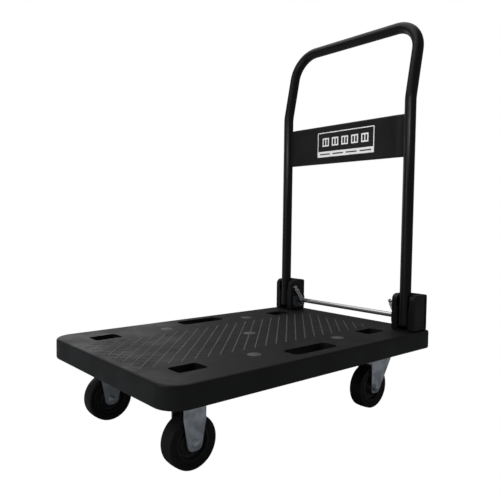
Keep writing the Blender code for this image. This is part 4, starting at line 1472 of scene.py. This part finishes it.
@dataclass
class Caster:
    """One caster: mounting plate, fork, axle bolt and wheel, and a ball race on a swivel one."""

    side: Side
    kind: CasterKind
    radius: float = 50.0 * MM
    tyre_width: float = 32.0 * MM
    rim_radius: float = 33.5 * MM
    hub_radius: float = 13.0 * MM
    hub_width: float = 34.5 * MM
    bore: float = 4.9 * MM
    sheet: float = 2.5 * MM
    inside: float = 18.0 * MM
    bend: float = 6.0 * MM
    foot: float = 13.5 * MM
    plate: float = 3.0 * MM
    leg_half: float = 23.5 * MM
    shoulder_above: float = 40.0 * MM
    crown_front: float = 47.0 * MM
    crown_rear: float = 29.0 * MM
    bolt_x: float = 41.0 * MM
    bolt_y: float = 30.0 * MM

    def build(self) -> None:
        """Builds the wheel, the fork, the axle and the mounting hardware."""
        self.build_tyre()
        self.build_rim()
        self.build_axle()
        self.build_fork()
        self.build_mounting()
        if self.kind is CasterKind.SWIVEL:
            self.build_race()

    @property
    def carrier(self) -> str:
        """The body that carries the axle."""
        return "chassis" if self.kind is CasterKind.FIXED else f"swivel_{self.side.word}"

    @property
    def tail(self) -> str:
        """The ending of this caster's node names."""
        return f"{self.kind.value}_{self.side.word}"

    @property
    def centre(self) -> Vector:
        """The wheel's centre."""
        return middle_of(f"tyre_{self.tail}")

    def build_tyre(self) -> None:
        """Builds the solid tyre: a crowned tread, round shoulders and a ridged sidewall."""
        half, inner = self.tyre_width / 2, self.rim_radius + 0.3 * MM
        side = [
            (inner, 14.3 * MM),
            (35.2 * MM, half - 0.9 * MM),
            (36.0 * MM, half - 0.1 * MM),
            (37.2 * MM, half),
            (38.2 * MM, half - 0.2 * MM),
            (38.9 * MM, half - 1.1 * MM),
            (40.4 * MM, half - 1.3 * MM),
            (42.2 * MM, half - 0.9 * MM),
            (44.6 * MM, half - 0.2 * MM),
        ]
        shoulder = 2.6 * MM
        for step in range(7):
            angle = math.radians(6 + 76 * step / 6)
            turn = Vector((math.sin(angle), math.cos(angle))) * shoulder
            side.append((self.radius - 0.7 * MM - shoulder + turn.x, half - 0.1 * MM - shoulder + turn.y))
        crown = self.radius - 0.25 * MM
        side += [(crown, half * 0.5), (self.radius, half * 0.2)]
        profile = side + [(radius, -height) for radius, height in reversed(side)]
        mesh = lathe_mesh("tyre", profile, 96, self.centre, "Y")
        tyre = put(f"solid_tyre_{self.tail}", mesh, 32.0)
        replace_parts(dress(tyre, TYRE_RUBBER, f"wheel_{self.tail}"), f"tyre_{self.tail}")

    def build_rim(self) -> None:
        """Builds the moulded rim: a band, a dished web with a step, and a hub with a bearing seat."""
        half = 14.5 * MM
        side = [
            (self.bore, 15.0 * MM),
            (6.5 * MM, 15.0 * MM),
            (6.9 * MM, self.hub_width / 2),
            (self.hub_radius - 0.8 * MM, self.hub_width / 2),
            (self.hub_radius, self.hub_width / 2 - 0.8 * MM),
            (self.hub_radius + 1.6 * MM, 7.0 * MM),
            (self.hub_radius + 2.6 * MM, 6.0 * MM),
            (22.0 * MM, 5.2 * MM),
            (22.8 * MM, 6.4 * MM),
            (24.2 * MM, 6.4 * MM),
            (25.0 * MM, 5.2 * MM),
            (28.2 * MM, 6.0 * MM),
            (29.6 * MM, 8.0 * MM),
            (30.4 * MM, half - 0.8 * MM),
            (31.2 * MM, half),
            (self.rim_radius - 0.5 * MM, half),
            (self.rim_radius, half - 0.5 * MM),
        ]
        profile = side + [(radius, -height) for radius, height in reversed(side)]
        mesh = lathe_mesh("rim", profile, 80, self.centre, "Y")
        rim = put(f"moulded_rim_{self.tail}", mesh, 40.0)
        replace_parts(dress(rim, RIM_PLASTIC, f"wheel_{self.tail}"), f"rim_{self.tail}")

    def build_axle(self) -> None:
        """Builds the axle bolt with its flanged hexagon head, and plates its nut."""
        low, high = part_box(f"axle_{self.tail}")
        centre = self.centre
        face = self.inside + self.sheet + 0.2 * MM
        outer = max(abs(low.y - centre.y), abs(high.y - centre.y))
        shank = bolt_profile(4.5 * MM, -(face + 7.0 * MM), face + 1.0 * MM)
        flange = ring_profile(4.4 * MM, 9.0 * MM, face, face + 1.2 * MM)
        meshes = [
            lathe_mesh("shank", shank, 24, centre, "Y"),
            hexagon_mesh(7.4 * MM, face + 0.9 * MM, outer, centre),
            lathe_mesh("flange", flange, 36, centre, "Y"),
        ]
        if self.side.value < 0:
            for mesh in meshes:
                mesh.transform(mirror_y(centre.y))
                mesh.flip_normals()
        bolt = joined(f"axle_bolt_{self.tail}", meshes)
        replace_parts(dress(bolt, ZINC, self.carrier), f"axle_{self.tail}")
        soften(f"axle_nut_{self.tail}", 0.6 * MM)
        dress(FRAME["nodes"][f"axle_nut_{self.tail}"], ZINC)

    def fork_section(self, crown: float, middle: float) -> list[Vector]:
        """Returns the bent sheet's section in Y and Z: two legs and a crown.

        Args:
            crown: The crown's upper face.
            middle: The fork's middle in Y.

        Returns:
            The closed outline.
        """
        outside, low = self.inside + self.sheet, self.radius - self.foot - 4.0 * MM
        inner_bend = self.bend - self.sheet
        corners = [
            (middle - outside, low, 0.0),
            (middle - self.inside, low, 0.0),
            (middle - self.inside, crown - self.sheet, inner_bend),
            (middle + self.inside, crown - self.sheet, inner_bend),
            (middle + self.inside, low, 0.0),
            (middle + outside, low, 0.0),
            (middle + outside, crown, self.bend),
            (middle - outside, crown, self.bend),
        ]
        return rounded(corners, 8)

    def fork_side(self, crown: float) -> list[Vector]:
        """Returns the fork's side view in X and Z: straight flanks that taper to a round foot.

        Args:
            crown: The crown's upper face.

        Returns:
            The closed outline.
        """
        axle, high, low = self.centre.x, crown + 4.0 * MM, self.radius - self.foot
        if self.kind is CasterKind.FIXED:
            front, rear = axle - self.leg_half, axle + self.leg_half
            shoulder = self.radius + self.shoulder_above
        else:
            swivel = middle_of(f"kingpin_{self.side.word}").x
            front, rear = swivel - self.crown_front, swivel + self.crown_rear
            shoulder = crown - 18.0 * MM
        corners = [
            (front, high, 0.0),
            (front, shoulder, 20.0 * MM),
            (axle - self.foot, low, self.foot * 0.85),
            (axle + self.foot, low, self.foot * 0.85),
            (rear, shoulder, 20.0 * MM),
            (rear, high, 0.0),
        ]
        return rounded(corners, 14)

    def build_fork(self) -> None:
        """Builds the fork from one bent sheet, welded to its plate on a fixed caster."""
        name = "fixed_fork" if self.kind is CasterKind.FIXED else "swivel_fork"
        node = f"{name}_{self.side.word}"
        low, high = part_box(node)
        middle = (low.y + high.y) / 2
        fixed = self.kind is CasterKind.FIXED
        crown = high.z - self.plate + self.sheet / 2 if fixed else high.z
        blank = slab_mesh("sheet", [self.fork_section(crown, middle)], high.x - low.x, Plane.YZ)
        blank.transform(Matrix.Translation(((low.x + high.x) / 2, 0, 0)))
        side = slab_mesh("side", [self.fork_side(crown)], 4 * self.inside, Plane.XZ)
        side.transform(Matrix.Translation((0, middle, 0)))
        carver = Carver(put(f"bent_fork_{self.tail}", blank)).keep(side)
        if fixed:
            outline = rounded(rectangle(high.x - low.x, high.y - low.y, 8.0 * MM, (self.centre.x, middle)), 6)
            plate = slab_mesh("plate", [outline], self.plate, Plane.XY)
            plate.transform(Matrix.Translation((0, 0, high.z - self.plate / 2)))
            carver.fuse(plate)
        fork = carver.round(0.6 * MM, 3, 50.0).finished(50.0)
        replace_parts(dress(fork, ZINC, self.carrier), node)

    def build_mounting(self) -> None:
        """Builds the four bolts that hold the plate to the deck, with their nuts below it."""
        if self.kind is CasterKind.FIXED:
            plate = top_of(f"fixed_fork_{self.side.word}")
        else:
            node = f"swivel_plate_{self.side.word}"
            plate = top_of(node)
            soften(node, 0.5 * MM)
            dress(FRAME["nodes"][node], ZINC)
        nut_end, nut_top, nut_height = 5.6 * MM, 6.0 * MM, 4.6 * MM
        nut_drop, stud_drop = Vector((0, 0, 2.6 * MM)), Vector((0, 0, 4.2 * MM))
        meshes = []
        for x, y in itertools.product((-self.bolt_x, self.bolt_x), (-self.bolt_y, self.bolt_y)):
            at = plate + Vector((x, y, -self.plate))
            shape = bmesh.new()
            bmesh.ops.create_cone(
                shape,
                cap_ends=True,
                segments=6,
                radius1=nut_end,
                radius2=nut_top,
                depth=nut_height,
                matrix=Matrix.Translation(at - nut_drop),
            )
            meshes.append(from_bmesh("nut", shape))
            meshes.append(drum_mesh("stud", 3.0 * MM, 8.6 * MM, at - stud_drop, "Z", 20))
        bolts = joined(f"mounting_nuts_{self.tail}", meshes)
        dress(bolts, ZINC, "chassis")

    def build_race(self) -> None:
        """Builds the swivel's ball race as two pressed cups, and plates the kingpin."""
        node = f"ball_race_{self.side.word}"
        low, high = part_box(node)
        centre = (low + high) / 2
        half = (high.z - low.z) / 2
        outer = (high.x - low.x) / 2
        profile = [
            (6.4 * MM, half),
            (outer - 1.5 * MM, half),
            (outer, half - 1.6 * MM),
            (outer, 0.9 * MM),
            (outer - 1.3 * MM, 0.0),
            (outer - 0.6 * MM, -0.9 * MM),
            (outer - 0.6 * MM, -half + 1.4 * MM),
            (outer - 2.2 * MM, -half),
            (6.4 * MM, -half),
        ]
        race = put(f"race_cups_{self.side.word}", lathe_mesh("race", profile, 64, centre, "Z"), 30.0)
        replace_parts(dress(race, ZINC, "chassis"), node)
        pin = f"kingpin_{self.side.word}"
        soften(pin, 0.5 * MM)
        dress(FRAME["nodes"][pin], ZINC)


def bolt_profile(radius: float, start: float, end: float) -> list[Point]:
    """Returns a shank's profile with a chamfered free end at its start."""
    chamfer = 0.8 * MM
    return [(0.0, end), (radius, end), (radius, start + chamfer), (radius - chamfer, start), (0.0, start)]


def ring_profile(inner: float, outer: float, start: float, end: float) -> list[Point]:
    """Returns a flange's profile with an eased outer edge."""
    ease = 0.4 * MM
    return [(inner, end), (outer - ease, end), (outer, end - ease), (outer, start), (inner, start)]


def mirror_y(y: float) -> Matrix:
    """Returns the mirror in the plane across Y at a place."""
    return Matrix.Translation((0, 2 * y, 0)) @ Matrix.Diagonal((1, -1, 1, 1))


def hexagon_mesh(across: float, start: float, end: float, centre: Vector) -> bpy.types.Mesh:
    """Builds a hexagon head along Y with its corners turned down.

    Args:
        across: The radius at its corners.
        start: Where it starts along Y from the centre.
        end: Where it ends.
        centre: The bolt's axis.

    Returns:
        A closed mesh.
    """
    blank = lathe_mesh("hexagon", [(0, end), (across, end), (across, start), (0, start)], 6, centre, "Y")
    turn = [
        (0.0, end),
        (across - 1.4 * MM, end),
        (across + 0.1 * MM, end - 0.9 * MM),
        (across + 0.1 * MM, start - 1.0 * MM),
        (0.0, start - 1.0 * MM),
    ]
    head = put("head", blank)
    done = Carver(head).keep(lathe_mesh("turned", turn, 48, centre, "Y")).done()
    mesh = done.data
    bpy.data.objects.remove(done, do_unlink=True)
    return mesh


# ---------------------------------------------------------------- studio


@dataclass
class Studio:
    """A pale floor, a bright surround, soft lights and the camera."""

    camera_place: tuple[float, float, float] = (-0.8160, -0.9432, 0.4406)
    yaw: float = 49.178
    pitch: float = -3.155
    roll: float = 0.69
    lens: float = 39.46

    def build(self) -> None:
        """Builds the floor, the surround, the lights and the camera."""
        self.build_floor()
        self.build_world()
        self.build_lights()
        self.build_camera()
        bpy.context.scene.view_settings.view_transform = "Standard"

    def camera_axes(self) -> tuple[Vector, Vector, Vector]:
        """Returns the camera's right, up and forward directions."""
        yaw, pitch, roll = (math.radians(angle) for angle in (self.yaw, self.pitch, self.roll))
        forward = Vector((math.cos(yaw) * math.cos(pitch), math.sin(yaw) * math.cos(pitch), math.sin(pitch)))
        level = forward.cross(Vector((0, 0, 1))).normalized()
        rise = level.cross(forward)
        right = math.cos(roll) * level + math.sin(roll) * rise
        return right, right.cross(forward), forward

    def build_camera(self) -> None:
        """Places the camera at the viewing angle."""
        data = bpy.data.cameras.new("camera")
        data.lens = self.lens
        data.sensor_width = 36.0
        data.clip_end = 50.0
        camera = bpy.data.objects.new("camera", data)
        bpy.context.scene.collection.objects.link(camera)
        right, rise, forward = self.camera_axes()
        turn = Matrix((right, rise, -forward)).transposed().to_4x4()
        camera.matrix_world = Matrix.Translation(self.camera_place) @ turn
        bpy.context.scene.camera = camera

    def build_floor(self) -> None:
        """Builds a wide pale floor that shows white and gives back only part of its light."""
        shape = bmesh.new()
        bmesh.ops.create_grid(shape, x_segments=2, y_segments=2, size=12.0)
        floor = put("floor", from_bmesh("floor", shape))
        floor.location.z = -0.0005
        material = bpy.data.materials.new("floor")
        material.use_nodes = True
        writer = NodeWriter(material.node_tree)
        dim = writer.add("ShaderNodeBsdfDiffuse")
        dim.inputs["Color"].default_value = (0.56, 0.58, 0.61, 1.0)
        glow = writer.add("ShaderNodeEmission")
        glow.inputs["Strength"].default_value = 1.0
        path = writer.add("ShaderNodeLightPath")
        mix = writer.add("ShaderNodeMixShader")
        writer.link(path.outputs["Is Camera Ray"], mix.inputs["Fac"])
        writer.link(dim.outputs[0], mix.inputs[1])
        writer.link(glow.outputs[0], mix.inputs[2])
        writer.link(mix.outputs[0], material.node_tree.nodes["Material Output"].inputs["Surface"])
        floor.data.materials.append(material)

    def build_world(self) -> None:
        """Surrounds the cart with white that lights it only dimly."""
        world = bpy.data.worlds.new("surround")
        world.use_nodes = True
        bpy.context.scene.world = world
        writer = NodeWriter(world.node_tree)
        back = world.node_tree.nodes["Background"]
        back.inputs["Color"].default_value = (1.0, 1.0, 1.0, 1.0)
        path = writer.add("ShaderNodeLightPath")
        seen = writer.math("MULTIPLY", path.outputs["Is Camera Ray"], 0.88)
        writer.link(writer.math("ADD", seen, 0.12), back.inputs["Strength"])

    def add_light(self, name: str, place: Vector, target: Vector, size: Point, power: float) -> None:
        """Adds a soft box that the camera doesn't see.

        Args:
            name: The light's name.
            place: Where it stands.
            target: What it points at.
            size: Its width and height.
            power: Its power in watts.
        """
        data = bpy.data.lights.new(name, "AREA")
        data.shape = "RECTANGLE"
        data.size, data.size_y = size
        data.energy = power
        light = bpy.data.objects.new(name, data)
        bpy.context.scene.collection.objects.link(light)
        light.location = place
        light.rotation_euler = (place - target).to_track_quat("Z", "Y").to_euler()
        light.visible_camera = False

    def build_lights(self) -> None:
        """Adds an overhead box, a box from the front left, a low one behind and a spot on the label."""
        middle = Vector((0.0, 0.0, 0.3))
        self.add_light("overhead", Vector((-0.2, 1.0, 2.6)), Vector((-0.2, 1.0, 0.0)), (3.2, 2.6), 22.0)
        self.add_light("front_left", Vector((-2.6, 0.1, 1.1)), middle, (1.0, 1.4), 6.0)
        self.add_light("behind", Vector((0.4, 2.6, 0.7)), middle, (2.0, 0.8), 6.0)
        self.add_spot("label_spot", Vector((-2.2, -1.3, 1.3)), Vector((0.31, -0.01, 0.645)), 8.0, 260.0)

    def add_spot(self, name: str, place: Vector, target: Vector, cone: float, power: float) -> None:
        """Adds a narrow lamp.

        Args:
            name: The lamp's name.
            place: Where it stands.
            target: What it points at.
            cone: Its cone in degrees.
            power: Its power in watts.
        """
        data = bpy.data.lights.new(name, "SPOT")
        data.energy = power
        data.spot_size = math.radians(cone)
        data.spot_blend = 0.8
        data.shadow_soft_size = 0.04
        lamp = bpy.data.objects.new(name, data)
        bpy.context.scene.collection.objects.link(lamp)
        lamp.location = place
        lamp.rotation_euler = (place - target).to_track_quat("Z", "Y").to_euler()


# ---------------------------------------------------------------- the cart


def build_cart() -> None:
    """Builds every sub-assembly in order and reports each."""
    assemblies: list[object] = [Deck(), PushHandle(), ReleaseRod()]
    assemblies += [HingeSeat(side) for side in Side]
    assemblies += [Caster(side, kind) for side in Side for kind in CasterKind]
    for assembly in assemblies:
        before = len(bpy.data.objects)
        assembly.build()
        LOG.info("%s: %d objects", type(assembly).__name__, len(bpy.data.objects) - before)


def main() -> None:
    """Builds the cart in its studio."""
    logging.basicConfig(level=logging.INFO, format="%(message)s")
    Studio().build()
    build_cart()
    LOG.info("cart built")


if __name__ == "__main__":
    main()
